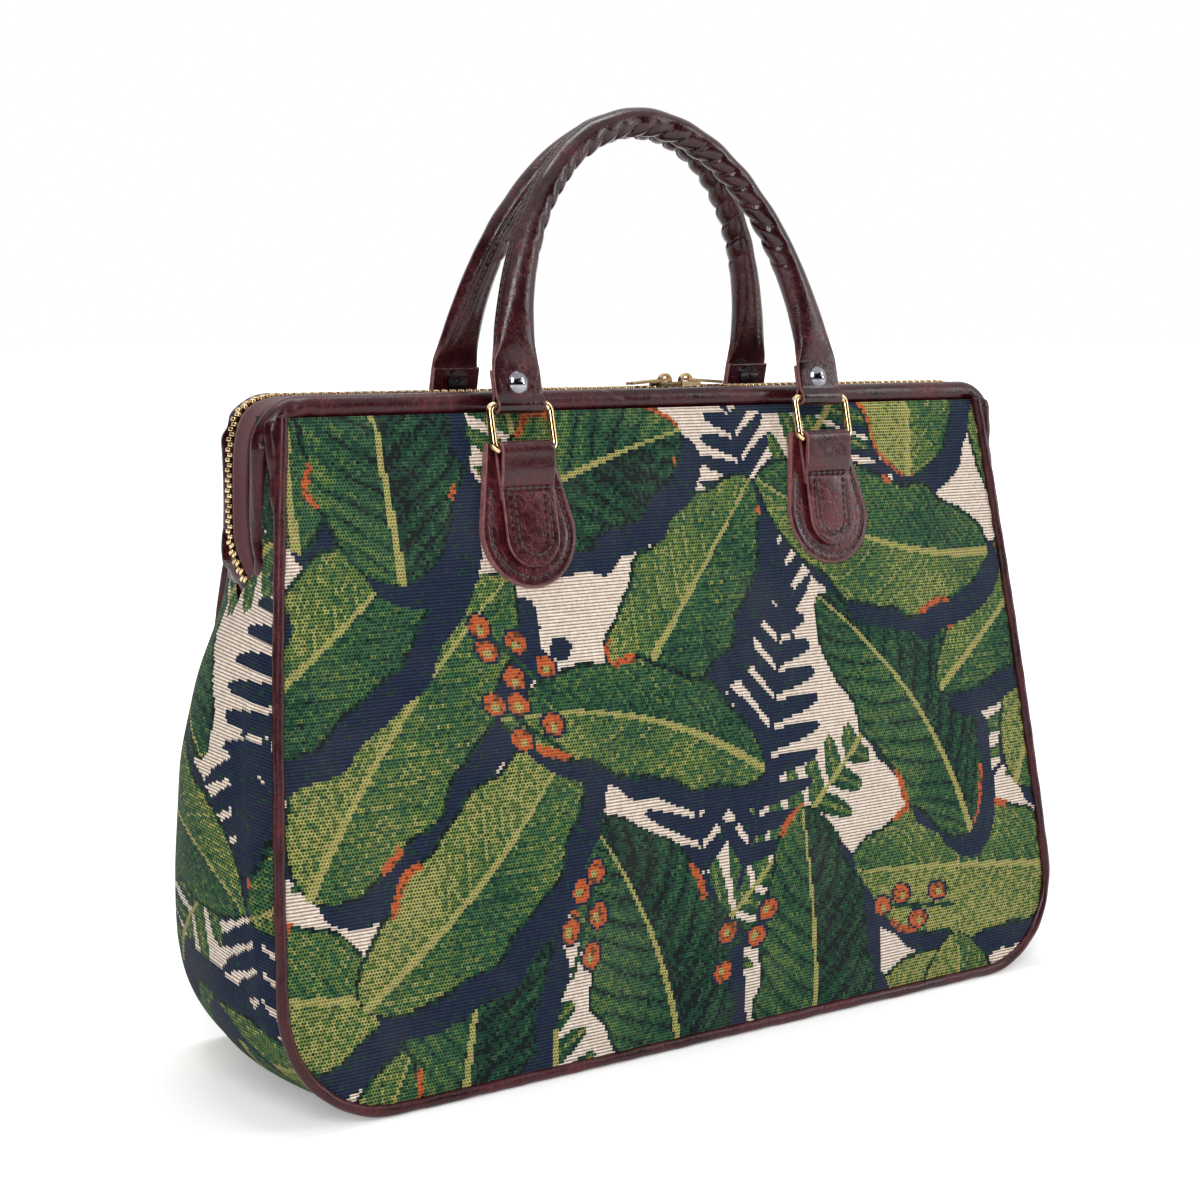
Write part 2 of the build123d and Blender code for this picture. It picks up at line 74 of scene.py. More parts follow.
def tint(r, g, b):
    # an ordinary colour code, 0 to 255, as Blender's own linear colour
    parts = [c / 255 for c in (r, g, b)]
    return tuple(c / 12.92 if c <= 0.04045 else ((c + 0.055) / 1.055) ** 2.4 for c in parts) + (1.0,)


def unit(v):
    return v / np.linalg.norm(v, axis=-1, keepdims=True)


def ramp(value, start, over):
    # 0 up to start and 1 beyond start + over; a fall has over below zero
    return np.clip((value - start) / over, 0, 1)


def hump(value, centre, width):
    return np.exp(-((value - centre) / width) ** 2)


def toLeft(x):
    return ramp(x, leftEnd["begins"], -leftEnd["over"])


def backStep(x, v):
    # the back stops short of the front at the left end, most of all low down
    hang = leftEnd["backHang"] * (1 + leftEnd["lowMore"] * np.clip(1 - v / leftEnd["lowOver"], 0, 1))
    return hang * toLeft(x)


def tipLean(points):
    # how far the mouth's left tip leans to the front
    down = ramp(points[..., 2], leftEnd["tipFrom"], -leftEnd["tipOver"]) ** leftEnd["tipPower"]
    return leftEnd["tipLean"] * down * (points[..., 0] < leftEnd["begins"])


def onPanel(x, v, w, face):
    # x along the bag, v up the panel, w out of it; face 1 is the front, -1 the back
    x, v, w = np.broadcast_arrays(x, v, w)
    if face < 0:
        x = x + backStep(x, v)
    y = -bag["depth"] / 2 + leanSin * v - leanCos * w
    return np.stack([x, face * y, leanCos * v + leanSin * w], -1)


def onTab(x, v, w, face):
    # the same on the plane under the tabs, which leans more than the panel's seams
    up, out = v - tabFoot[0], np.asarray(w, float)
    c, s = math.cos(tabLean), math.sin(tabLean)
    x = np.asarray(x, float) + (bag["skew"] if face < 0 else 0.0)
    return onPanel(x, tabFoot[0] + c * up + s * out, tabFoot[1] - s * up + c * out, face)


def runOf(path):
    # running length at each point
    return np.concatenate([[0], np.cumsum(np.linalg.norm(np.diff(path, axis=0), axis=1))])


def evenly(path, step):
    # the same line with points a step apart
    run = runOf(path)
    at = np.linspace(0, run[-1], max(2, int(round(run[-1] / step)) + 1))
    return np.stack([np.interp(at, run, path[:, k]) for k in range(path.shape[1])], -1)


def softened(values, width, times=3):
    # running mean, ends kept
    for _ in range(times):
        padded = np.concatenate([np.full(width, values[0]), values, np.full(width, values[-1])])
        values = np.convolve(padded, np.ones(2 * width + 1) / (2 * width + 1), "valid")
    return values


def eased(line, times):
    # corners rounded off, ends kept
    for _ in range(times):
        line[1:-1] = (line[:-2] + 2 * line[1:-1] + line[2:]) / 4
    return line


def bentLine(points, radii, step):
    # straight runs joined by arcs
    points = [np.array(p, float) for p in points]
    line = [points[0]]
    for before, p, after, r in zip(points, points[1:], points[2:], radii):
        u, w = unit(before - p), unit(after - p)
        half = math.acos(np.dot(u, w)) / 2
        centre = p + unit(u + w) * r / math.sin(half)
        a, b = p + u * r / math.tan(half) - centre, p + w * r / math.tan(half) - centre
        swing = math.pi - 2 * half
        for t in np.linspace(0, 1, 24):
            spoke = math.sin((1 - t) * swing) * a + math.sin(t * swing) * b
            line.append(centre + spoke / math.sin(swing))
    line.append(points[-1])
    return evenly(np.array(line), step)


def gridFaces(rows, cols, wrap):
    i, j = np.meshgrid(np.arange(rows - 1), np.arange(cols if wrap else cols - 1), indexing="ij")
    k = (j + 1) % cols
    corners = [i * cols + j, i * cols + k, (i + 1) * cols + k, (i + 1) * cols + j]
    return np.stack(corners, -1).reshape(-1, 4)


def tubeFaces(rows, cols):
    # rings of points joined into a tube, with a face on each end
    ends = [list(range(cols))[::-1], list(range((rows - 1) * cols, rows * cols))]
    return gridFaces(rows, cols, True).tolist() + ends


def toFace(points, face):
    # what was drawn for the front, turned over to the back
    return points if face > 0 else points * (1, -1, 1) + (bag["skew"], 0, 0)


def swept(path, across, section):
    # a section (n, k, 2) carried along a line; across is the section's first direction
    along = unit(np.gradient(path, axis=0))
    across = unit(across - along * np.sum(across * along, -1, keepdims=True))
    out = np.cross(along, across)
    section = np.broadcast_to(section, (len(path),) + section.shape[-2:])
    points = path[:, None] + section[..., :1] * across[:, None] + section[..., 1:] * out[:, None]
    return points.reshape(-1, 3), tubeFaces(*points.shape[:2])


def ringSection(count):
    turn = np.linspace(0, 2 * np.pi, count, endpoint=False)
    return turn, np.stack([np.cos(turn), np.sin(turn)], -1)


def waves(seed, number, *coords, reach=1.0):
    # soft random undulation of one or more running lengths, about -1 to 1
    rng = np.random.default_rng(seed)
    total = 0
    for _ in range(number):
        phase = rng.uniform(0, 6.28)
        for c in coords:
            phase = phase + c * rng.uniform(-1, 1) * reach
        total = total + np.sin(phase)
    return total / math.sqrt(number)


def makePiece(name, points, faces, finish, body, nodes=(), flip=False):
    faces = [list(f) for f in faces]
    if flip:
        faces = [f[::-1] for f in faces]
    mesh = bpy.data.meshes.new(name)
    mesh.from_pydata((np.asarray(points) * mm).tolist(), [], faces)
    mesh.shade_smooth()
    mesh.materials.append(finish)
    piece = bpy.data.objects.new(name, mesh)
    scene.collection.objects.link(piece)
    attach(piece, body)
    if nodes:
        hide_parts(*nodes)
    return piece


def markPoints(piece, name, values):
    layer = piece.data.attributes.new(name, "FLOAT", "POINT")
    layer.data.foreach_set("value", np.asarray(values, np.float32).ravel())


def cornerPoints(piece):
    index = np.empty(len(piece.data.loops), np.int32)
    piece.data.loops.foreach_get("vertex_index", index)
    return index


def layUv(piece, flat):
    # flat is one pair for each point
    layer = piece.data.uv_layers.new(name="lay")
    layer.data.foreach_set("uv", np.asarray(flat, np.float32)[cornerPoints(piece)].ravel())


# node tools

def newFinish(name):
    finish = bpy.data.materials.new(name)
    finish.use_nodes = True
    return finish, finish.node_tree, finish.node_tree.nodes["Principled BSDF"]


def addNode(tree, kind, sockets=None, **props):
    node = tree.nodes.new("ShaderNode" + kind)
    for key, value in props.items():
        setattr(node, key, value)
    plugAll(tree, node, sockets or {})
    return node


def plug(tree, socket, value):
    if isinstance(value, bpy.types.NodeSocket):
        tree.links.new(value, socket)
    else:
        socket.default_value = value


def plugAll(tree, node, sockets):
    for key, value in sockets.items():
        plug(tree, node.inputs[key], value)


def calc(tree, operation, *values):
    node = tree.nodes.new("ShaderNodeMath")
    node.operation = operation
    for socket, value in zip(node.inputs, values):
        plug(tree, socket, value)
    return node.outputs[0]


def times(tree, a, b):
    return calc(tree, "MULTIPLY", a, b)


def plus(tree, a, b):
    return calc(tree, "ADD", a, b)


def minus(tree, a, b):
    return calc(tree, "SUBTRACT", a, b)


def blendColour(tree, amount, a, b, way="MIX"):
    return addNode(tree, "Mix", {0: amount, 6: a, 7: b}, data_type="RGBA", blend_type=way).outputs[2]


def rampOf(tree, value, stops):
    node = addNode(tree, "ValToRGB", {"Fac": value})
    points = node.color_ramp.elements
    while len(points) < len(stops):
        points.new(0.5)
    for point, (place, colour) in zip(points, stops):
        point.position = place
        point.color = colour
    return node.outputs["Color"]


def spread(tree, value, low, high, fromLow=0.0, fromHigh=1.0):
    node = addNode(tree, "MapRange", {"Value": value, "From Min": fromLow, "From Max": fromHigh,
                                      "To Min": low, "To Max": high})
    return node.outputs["Result"]


def solidSpace(tree):
    return addNode(tree, "TexCoord").outputs["Object"]


def markOf(tree, name, output="Fac"):
    return addNode(tree, "Attribute", attribute_name=name).outputs[output]


def bumpOf(tree, height, strength, distance):
    node = addNode(tree, "Bump", {"Height": height, "Strength": strength, "Distance": distance})
    return node.outputs["Normal"]


def noiseAt(tree, space, scale, detail=3.0, rough=0.55):
    return addNode(tree, "TexNoise", {"Vector": space, "Scale": scale, "Detail": detail,
                                      "Roughness": rough}).outputs["Fac"]


# leather: dark burgundy, clouded, with crackle lines, glossy streaks and pale cut edges
leatherLooks = dict(
    bindingLeather=dict(dark=(24, 5, 9), middle=(48, 11, 17), light=(76, 21, 30),
                        crackle=0.35, cell=110, shine=0.30, gloss=0.22),
    pipingLeather=dict(dark=(30, 7, 11), middle=(56, 14, 21), light=(84, 25, 34),
                       crackle=0.35, cell=150, shine=0.32, gloss=0.26),
    tabLeather=dict(dark=(32, 7, 11), middle=(58, 14, 20), light=(88, 26, 33),
                    crackle=0.6, cell=85, shine=0.38, gloss=0.22),
    handleLeather=dict(dark=(24, 5, 9), middle=(46, 11, 16), light=(74, 20, 29),
                       crackle=0.45, cell=130, shine=0.42, gloss=0.19),
)


leatherGrain = dict(patch=32, mottle=300, pebble=90, wander=120, drift=0.011, crackWide=0.055, fineCell=2.7,
                    crack=(116, 36, 42), cutEdge=(146, 98, 96), bump=0.5, depth=0.0006)


def leatherFinish(name, look):
    grain = leatherGrain
    finish, tree, skin = newFinish(name)
    space = solidSpace(tree)
    patches = noiseAt(tree, space, grain["patch"], 4)
    mottle = noiseAt(tree, space, grain["mottle"], 5, 0.65)
    mixed = plus(tree, times(tree, patches, 0.6), times(tree, mottle, 0.4))
    colour = rampOf(tree, mixed, [(0.34, tint(*look["dark"])), (0.52, tint(*look["middle"])),
                                  (0.72, tint(*look["light"]))])
    wander = addNode(tree, "TexNoise", {"Vector": space, "Scale": grain["wander"], "Detail": 3})
    wander, reach = wander.outputs["Color"], (grain["drift"],) * 3
    drift = addNode(tree, "VectorMath", {0: wander, 1: reach}, operation="MULTIPLY")
    bent = addNode(tree, "VectorMath", {0: space, 1: drift.outputs[0]}, operation="ADD").outputs[0]
    where = spread(tree, patches, 0.15, 1.0, 0.42, 0.62)
    lines = 0.0
    for scale, share in ((look["cell"], 1.0), (look["cell"] * grain["fineCell"], 0.6)):
        cells = addNode(tree, "TexVoronoi", {"Vector": bent, "Scale": scale}, feature="DISTANCE_TO_EDGE")
        crack = spread(tree, cells.outputs["Distance"], share, 0.0, 0.0, grain["crackWide"])
        lines = plus(tree, times(tree, crack, where), lines)
    colour = blendColour(tree, times(tree, lines, 0.75 * look["crackle"]), colour, tint(*grain["crack"]))
    raw = markOf(tree, "raw")
    rawEdge = times(tree, raw, spread(tree, mottle, 0.3, 0.9, 0.3, 0.6))
    colour = blendColour(tree, rawEdge, colour, tint(*grain["cutEdge"]))
    height = minus(tree, times(tree, mottle, 0.4), times(tree, lines, 0.5 * look["crackle"]))
    height = plus(tree, height, times(tree, noiseAt(tree, space, grain["pebble"], 3), 0.9))
    rough = plus(tree, spread(tree, mixed, look["gloss"] - 0.05, look["gloss"] + 0.18, 0.35, 0.65),
                 times(tree, raw, 0.3))
    plugAll(tree, skin, {"Base Color": colour, "Roughness": rough, "Specular IOR Level": look["shine"],
                         "Normal": bumpOf(tree, height, grain["bump"], grain["depth"])})
    return finish


# metals: a faint cloud of tarnish and fine scratches
metalLooks = dict(
    goldRing=dict(bright=(234, 208, 164), dull=(206, 172, 122), rough=0.10),
    zipGold=dict(bright=(226, 200, 152), dull=(178, 140, 90), rough=0.20),
    snapSilver=dict(bright=(150, 150, 156), dull=(92, 92, 100), rough=0.10),
    frameSteel=dict(bright=(150, 152, 156), dull=(110, 110, 116), rough=0.35),
)
metalGrain = dict(cloud=70, scratch=1400, bump=0.08, depth=0.0002)


def metalFinish(name, look):
    finish, tree, skin = newFinish(name)
    space = solidSpace(tree)
    clouds = noiseAt(tree, space, metalGrain["cloud"], 4)
    fine = noiseAt(tree, space, metalGrain["scratch"], 2)
    colour = rampOf(tree, clouds, [(0.35, tint(*look["dull"])), (0.58, tint(*look["bright"]))])
    rough = spread(tree, clouds, look["rough"] + 0.08, look["rough"], 0.3, 0.7)
    plugAll(tree, skin, {"Base Color": colour, "Metallic": 1.0, "Roughness": rough,
                         "Normal": bumpOf(tree, fine, metalGrain["bump"], metalGrain["depth"])})
    return finish


# plain woven things: the zip tape, the lining, the handle's cord and the sewing thread
clothLooks = dict(
    zipWeave=dict(dark=(46, 8, 17), light=(92, 22, 36), scale=1100, rough=0.75),
    liningCloth=dict(dark=(120, 98, 74), light=(160, 136, 106), scale=700, rough=0.85),
    cordCore=dict(dark=(190, 178, 156), light=(226, 216, 196), scale=900, rough=0.9),
    sewingThread=dict(dark=(16, 10, 12), light=(52, 36, 40), scale=2600, rough=0.55),
)


def clothFinish(name, look):
    finish, tree, skin = newFinish(name)
    space = solidSpace(tree)
    parts = addNode(tree, "SeparateXYZ", {"Vector": space})
    slope = plus(tree, parts.outputs["X"], parts.outputs["Z"])
    warp = calc(tree, "SINE", times(tree, slope, look["scale"] * 6.28))
    weft = calc(tree, "SINE", times(tree, parts.outputs["Y"], look["scale"] * 6.28))
    knit = times(tree, warp, weft)
    fuzz = noiseAt(tree, space, look["scale"] * 0.8, 3)
    amount = plus(tree, times(tree, knit, 0.25), fuzz)
    colour = rampOf(tree, amount, [(0.25, tint(*look["dark"])), (0.8, tint(*look["light"]))])
    rough = spread(tree, fuzz, look["rough"] - 0.08, look["rough"] + 0.08)
    plugAll(tree, skin, {"Base Color": colour, "Roughness": rough, "Sheen Weight": 0.2,
                         "Normal": bumpOf(tree, amount, 0.5, 0.0003)})
    return finish


# tapestry: a made-up leaf, fern and bud design, worked out cell by cell as a loom would
weave = dict(cell=1.5, wide=280, high=252, seed=11, leaves=30, tries=14, bare=0.13, length=(120, 185),
             width=(32, 48), shadow=(9, -11), fronds=9, frondWide=32, buds=6, slants=(35, 80, 125, 160))
yarns = dict(
    cream=(228, 214, 199), navy=(30, 42, 66), ink=(14, 25, 27), deepGreen=(25, 64, 48),
    midGreen=(54, 96, 62), leafGreen=(100, 124, 64), limeGreen=(160, 160, 92),
    straw=(172, 158, 100), rust=(188, 92, 50), bark=(108, 64, 42),
)
greens = ["ink", "deepGreen", "midGreen", "leafGreen", "limeGreen"]
# each tone: main yarn, stray yarn, where the stray begins, rib and fleck amounts
groundTone, shadowTone, leafTone, rustTone, paleTone = range(5)
tones = [
    ("cream", "cream", 1.0, 1.0, 0.0), ("navy", "deepGreen", 0.94, 0.9, 0.2),
    ("midGreen", "midGreen", 1.0, 0.4, 0.0), ("rust", "bark", 0.78, 0.4, 0.4),
    ("limeGreen", "straw", 0.6, 0.3, 0.7),
]
fleckOfGreen = [0.3, 0.7, 0.95, 1.0, 1.0]


def paintCloth():
    cell, wide, high = weave["cell"], weave["wide"], weave["high"]
    spanX, spanY = wide * cell, high * cell
    gridX, gridY = np.meshgrid((np.arange(wide) + 0.5) * cell, (np.arange(high) + 0.5) * cell)
    tone = np.zeros((high, wide), int)
    shade = np.zeros((high, wide))  # how light a leaf's green is
    patch = waves(5, 8, gridX, gridY, reach=0.10)
    rng = np.random.default_rng(weave["seed"])

    def local(cx, cy, turn):
        dx = (gridX - cx + spanX / 2) % spanX - spanX / 2
        dy = (gridY - cy + spanY / 2) % spanY - spanY / 2
        c, s = math.cos(math.radians(turn)), math.sin(math.radians(turn))
        return dx * c + dy * s, dy * c - dx * s

    def leafShape(cx, cy, turn, length, width, bend):
        along, aside = local(cx, cy, turn)
        t = along / length + 0.5
        d = aside - bend * length * (t - 0.5) ** 2
        edge = 1.9 * width * np.clip(t, 0, 1) ** 0.55 * np.clip(1 - t, 0, 1) ** 0.62
        edge = edge * (1 + 0.06 * np.sin(23 * t + turn) + 0.03 * np.sin(41 * t + 2 * turn))
        return t, d, edge, (np.abs(d) < edge) & (t > 0) & (t < 1)

    def leaf(cx, cy, turn, length, width, bend, mood):
        dark = leafShape(cx + weave["shadow"][0], cy + weave["shadow"][1], turn, length, width, bend)[3]
        tone[dark] = shadowTone
        t, d, edge, inside = leafShape(cx, cy, turn, length, width, bend)
        across = np.clip(np.abs(d) / np.maximum(edge, 1), 0, 1)
        part = ((t - 0.20 * across ** 1.3) * length / 13.5) % 1  # side veins
        half = np.where(d > 0, 0.55, -0.45)
        fill = 1.35 + 0.75 * mood + half + 0.5 * across - 0.35 * np.cos(2 * np.pi * part) + 0.35 * patch
        fill = np.where(part < 0.13, fill + (1.2 if mood > 0 else -1.0), fill)
        fill = np.where(np.abs(d) > edge - 2.2, 0.4, fill)
        shade[inside] = np.clip(fill, 0, 3.999)[inside]
        tone[inside] = leafTone
        tone[inside & (np.abs(d) > edge - 4.0) & (patch > 0.85)] = rustTone
        tone[inside & (np.abs(d) < 0.6 + 1.5 * np.clip(1 - t, 0, 1))] = paleTone

    def frond(cx, cy, turn, length, width, bend, dark):
        along, aside = local(cx, cy, turn)
        t = along / length
        d = aside - bend * length * t * np.abs(t)
        reach = width * np.clip(np.sin(np.pi * np.clip(t, 0, 1) ** 0.75), 0.02, 1) ** 0.7
        off = np.abs(((t - 0.55 * np.abs(d) / length) * 11) % 1 - 0.5)
        blade = (t > 0) & (t < 1) & (np.abs(d) < reach)
        blade &= off < 0.36 * np.sqrt(np.clip(1 - (np.abs(d) / reach) ** 2, 0, 1)) + 0.03
        tone[blade] = shadowTone if dark else leafTone
        shade[blade] = np.where(off < 0.08, 3.0, 1.2 + 0.8 * (d > 0))[blade]
        tone[(t > -0.06) & (t < 0.97) & (np.abs(d) < 1.4)] = shadowTone if dark else paleTone

    def buds(cx, cy, turn, length, number):
        along, aside = local(cx, cy, turn)
        stem = (along > 0) & (along < length) & (np.abs(aside) < 1.2)
        tone[stem], shade[stem] = leafTone, 1.0
        for k in range(number):
            at = length * (0.25 + 0.75 * k / max(1, number - 1))
            side = 0 if k == number - 1 else (1 if k % 2 else -1) * (7.5 - 3 * k / number)
            far = np.hypot((along - at) / 1.3, aside - side)
            tone[far < 5.6] = shadowTone
            tone[far < 4.4] = rustTone
            tone[np.hypot((along - at + 1) / 1.2, aside - side - 1) < 1.7] = paleTone

    def anywhere():
        return rng.uniform(0, spanX), rng.uniform(0, spanY)

    for k in range(weave["fronds"]):
        frond(*anywhere(), rng.uniform(20, 160), rng.uniform(130, 180), weave["frondWide"],
              rng.uniform(-0.15, 0.15), k % 2 == 0)
    for k in range(weave["leaves"]):
        if np.mean(tone == groundTone) < weave["bare"]:
            break
        best = None
        for _ in range(weave["tries"]):  # the try that covers most bare ground is kept
            row = (*anywhere(), rng.choice(weave["slants"]) + rng.uniform(-18, 18),
                   rng.uniform(*weave["length"]), rng.uniform(*weave["width"]), rng.uniform(-0.35, 0.35))
            inside = leafShape(*row)[3]
            gain = np.sum(inside * np.choose(np.minimum(tone, 2), [1.0, 0.35, -0.25]))
            if best is None or gain > best[0]:
                best = (gain, row)
        leaf(*best[1], (k * 2) % 3 - 0.4)
    for k in range(weave["buds"]):
        buds(*anywhere(), rng.uniform(0, 360), rng.uniform(40, 54), 4 + k % 2)

    # each tone becomes single yarns, cell by cell
    row, column = np.mgrid[0:high, 0:wide]
    step = ((column + 2 * (row % 2) + (row // 2) % 2) % 4 + 0.5) / 4
    dice = rng.random((high, wide))
    green = np.clip(np.floor(shade - 0.6 + 1.0 * step + 1.3 * dice), 0, 4).astype(int)
    colours, rib, fleck = np.zeros((high, wide, 3)), np.zeros((high, wide)), np.zeros((high, wide))
    for number, (main, stray, strayFrom, ribAmount, fleckAmount) in enumerate(tones):
        here = tone == number
        colours[here] = tint(*yarns[main])[:3]
        colours[here & (dice > strayFrom)] = tint(*yarns[stray])[:3]
        rib[here], fleck[here] = ribAmount, fleckAmount
    for number, name in enumerate(greens):
        here = (tone == leafTone) & (green == number)
        colours[here], fleck[here] = tint(*yarns[name])[:3], fleckOfGreen[number]
    colours *= rng.uniform(0.86, 1.12, (high, wide, 1))
    return colours, fleck, rib


clothColours, clothFlecks, clothRibs = paintCloth()
print("cloth design drawn")

tapestryLook = dict(rib=(104, 74, 54), fleck=(14, 16, 14), worn=(150, 140, 124), ribShare=0.30,
                    fleckSize=0.36, fuzzScale=1500, wornScale=26, fuzz=((0.3, 0.27), (0.7, 0.75)), rough=0.88)


def tapestryFinish(name, look):
    finish, tree, skin = newFinish(name)
    flat = addNode(tree, "UVMap", uv_map="lay").outputs["UV"]
    parts = addNode(tree, "SeparateXYZ", {"Vector": flat})
    u, v = parts.outputs["X"], parts.outputs["Y"]
    row = calc(tree, "FRACT", v)
    offRow = minus(tree, row, 0.5)
    ribLine = spread(tree, calc(tree, "ABSOLUTE", offRow), 1.0, 0.0, look["ribShare"] * 0.5, look["ribShare"])
    ribs = times(tree, ribLine, markOf(tree, "rib"))
    # flecks sit half a cell over in every other row
    step = times(tree, calc(tree, "FLOOR", v), 0.5)
    du = minus(tree, calc(tree, "FRACT", plus(tree, u, step)), 0.5)
    dv = times(tree, offRow, 0.8)
    far = calc(tree, "SQRT", plus(tree, times(tree, du, du), times(tree, dv, dv)))
    dot = spread(tree, far, 1.0, 0.0, look["fleckSize"] * 0.7, look["fleckSize"])
    flecks = times(tree, dot, markOf(tree, "fleck"))
    yarn = markOf(tree, "yarn", "Color")
    colour = blendColour(tree, times(tree, ribs, 0.72), yarn, tint(*look["rib"]), "MULTIPLY")
    colour = blendColour(tree, times(tree, flecks, 0.85), colour, tint(*look["fleck"]))
    space = solidSpace(tree)
    fuzz = noiseAt(tree, space, look["fuzzScale"], 3)
    worn = noiseAt(tree, space, look["wornScale"], 3)
    greys = [(place, (grey, grey, grey, 1)) for place, grey in look["fuzz"]]
    colour = blendColour(tree, 0.5, colour, rampOf(tree, fuzz, greys), "OVERLAY")
    colour = blendColour(tree, spread(tree, worn, 0.0, 0.05, 0.45, 0.75), colour, tint(*look["worn"]))
    cord = calc(tree, "SINE", times(tree, v, 6.2832))
    threads = calc(tree, "SINE", times(tree, u, 12.566))
    height = plus(tree, times(tree, cord, -0.5), times(tree, threads, 0.18))
    height = plus(tree, height, times(tree, fuzz, 0.7))
    height = minus(tree, height, times(tree, flecks, 0.6))
    rough = spread(tree, fuzz, look["rough"] - 0.08, look["rough"] + 0.06)
    plugAll(tree, skin, {"Base Color": colour, "Roughness": rough, "Sheen Weight": 0.04,
                         "Specular IOR Level": 0.12, "Normal": bumpOf(tree, height, 0.6, 0.0004)})
    return finish


leathers = {name: leatherFinish(name, look) for name, look in leatherLooks.items()}
metals = {name: metalFinish(name, look) for name, look in metalLooks.items()}
cloths = {name: clothFinish(name, look) for name, look in clothLooks.items()}
tapestry = tapestryFinish("tapestry", tapestryLook)
print("finishes made")


# the bag's outline: bowed sides and rounded lower corners, from the left top round to the right top
outlineCounts = dict(side=167, corner=51, base=240)


def joined(left, right):
    # two half outlines, each from the bottom up, made one
    left = left[::-1]
    base = np.linspace(left[-1], right[0], outlineCounts["base"] + 2)[1:-1]
    return np.concatenate([left, base, right])


def bagOutline():
    low, foot, top, corner = panelLow, bag["length"] / 2, bag["topLength"] / 2, bag["corner"]
    t = np.linspace(0, 1, 1500)
    x = foot + (top - foot) * t + 4 * bag["bow"] * t * (1 - t)
    z = low + (panelHigh - low) * t
    dx, dz = np.gradient(x), np.gradient(z)
    size = np.hypot(dx, dz)
    inX, inZ = x - corner * dz / size, z + corner * dx / size
    k = int(np.argmin(np.abs(inZ - low - corner)))
    turn = np.linspace(-math.pi / 2, math.atan2(z[k] - inZ[k], x[k] - inX[k]), outlineCounts["corner"])
    arc = np.stack([inX[k] + corner * np.cos(turn), low + corner + corner * np.sin(turn)], -1)
    at = np.linspace(0, 1, outlineCounts["side"] + 1)[1:]
    rise = np.stack([np.interp(at, np.linspace(0, 1, len(x) - k), c[k:]) for c in (x, z)], -1)
    half = np.concatenate([arc, rise])
    return joined(half * (-1, 1), half)


seam = bagOutline()
rightSide = seam[len(seam) - outlineCounts["side"] - outlineCounts["corner"]:]


def halfAt(v):
    return np.interp(v, rightSide[:, 1], rightSide[:, 0])


def dressCloth(piece, columns, rows, flat):
    # columns and rows are the loom cells of each face, flat the running lengths in cells
    wide, high = weave["wide"], weave["high"]
    columns, rows = columns % wide, rows % high
    colour = np.ones((len(columns), 4, 4), np.float32)
    colour[:, :, :3] = clothColours[rows, columns][:, None]
    layer = piece.data.color_attributes.new("yarn", "FLOAT_COLOR", "CORNER")
    layer.data.foreach_set("color", colour.ravel())
    for name, values in (("fleck", clothFlecks), ("rib", clothRibs)):
        layer = piece.data.attributes.new(name, "FLOAT", "FACE")
        layer.data.foreach_set("value", values[rows, columns].astype(np.float32))
    layUv(piece, flat)


def usedOnly(faces):
    # which points the faces still use, and the faces counted by those
    used, again = np.unique(faces, return_inverse=True)
    return used, again.reshape(-1, 4)


# tapestry panels
panelShape = dict(
    up=(0.0, 0.06, 0.14, 0.24, 0.36, 0.49, 0.60, 0.70, 0.79, 0.87, 0.94, 1.0),
    out=(0.03, 0.24, 0.50, 0.74, 0.93, 1.0, 0.93, 0.78, 0.56, 0.32, 0.12, 0.03),
    ripple=0.9, calmEdge=60, calmTop=214, calmOver=40, pucker=0.5, puckerStep=0.55, puckerWide=7,
    seamDip=1.0, seamWide=4, tuck=3.0, tuckHigh=9, columns=156, design={1: (0, 0), -1: (131, 64)},
)
swellUp = np.linspace(0, 1, 601)
swellOut = softened(np.interp(swellUp, panelShape["up"], panelShape["out"]), 9)


def panelSurface(x, v):
    # how far the cloth stands out from the flat panel
    edge = np.minimum(halfAt(v) - np.abs(x), v - panelLow)
    share = np.clip((v - panelLow) / (panelHigh - panelLow), 0, 1)
    half = bag["length"] / 2 + (bag["topLength"] - bag["length"]) / 2 * share
    half = half + 4 * bag["bow"] * share * (1 - share)
    w = bag["swell"] * np.interp(share, swellUp, swellOut) * np.clip(1 - (x / half) ** 2, 0, 1)
    look = panelShape
    calm = ramp(edge, 0, look["calmEdge"]) * ramp(v, look["calmTop"], -look["calmOver"])
    w = w + look["ripple"] * calm * waves(3, 7, x, v, reach=0.055)
    edge = np.clip(edge, 0, None)
    w = w + look["pucker"] * np.exp(-edge / look["puckerWide"]) * waves(9, 5, x, v, reach=look["puckerStep"])
    w = w - look["seamDip"] * np.exp(-edge / look["seamWide"])
    top = ramp(v, panelHigh - look["tuckHigh"], look["tuckHigh"])
    return w - look["tuck"] * top * top


def makePanel(face, name):
    cell = weave["cell"]
    columns = np.arange(-panelShape["columns"], panelShape["columns"] + 1)
    rows = np.arange(0, int((panelHigh - panelLow) / cell) + 1)
    x, v = np.meshgrid(columns * cell, panelLow + rows * cell)
    points = onPanel(x, v, panelSurface(x, v), face).reshape(-1, 3)
    faces = gridFaces(len(rows), len(columns), False)
    i, j = np.meshgrid(rows[:-1], columns[:-1], indexing="ij")
    midX, midV = (j + 0.5) * cell, panelLow + (i + 0.5) * cell
    keep = (np.abs(midX) < halfAt(midV)).ravel()
    used, faces = usedOnly(faces[keep])
    shiftX, shiftY = panelShape["design"][face]
    piece = makePiece(name + "TapestryPanel", points[used], faces, tapestry, "bag",
                      [name + "_panel"], flip=face < 0)
    flat = np.stack([x / cell, v / cell], -1).reshape(-1, 2)[used]
    dressCloth(piece, j.ravel()[keep] + shiftX, i.ravel()[keep] + shiftY, flat)
    x, v = seam.T


for face, name in faceNames.items():
    makePanel(face, name)
print("panels woven")

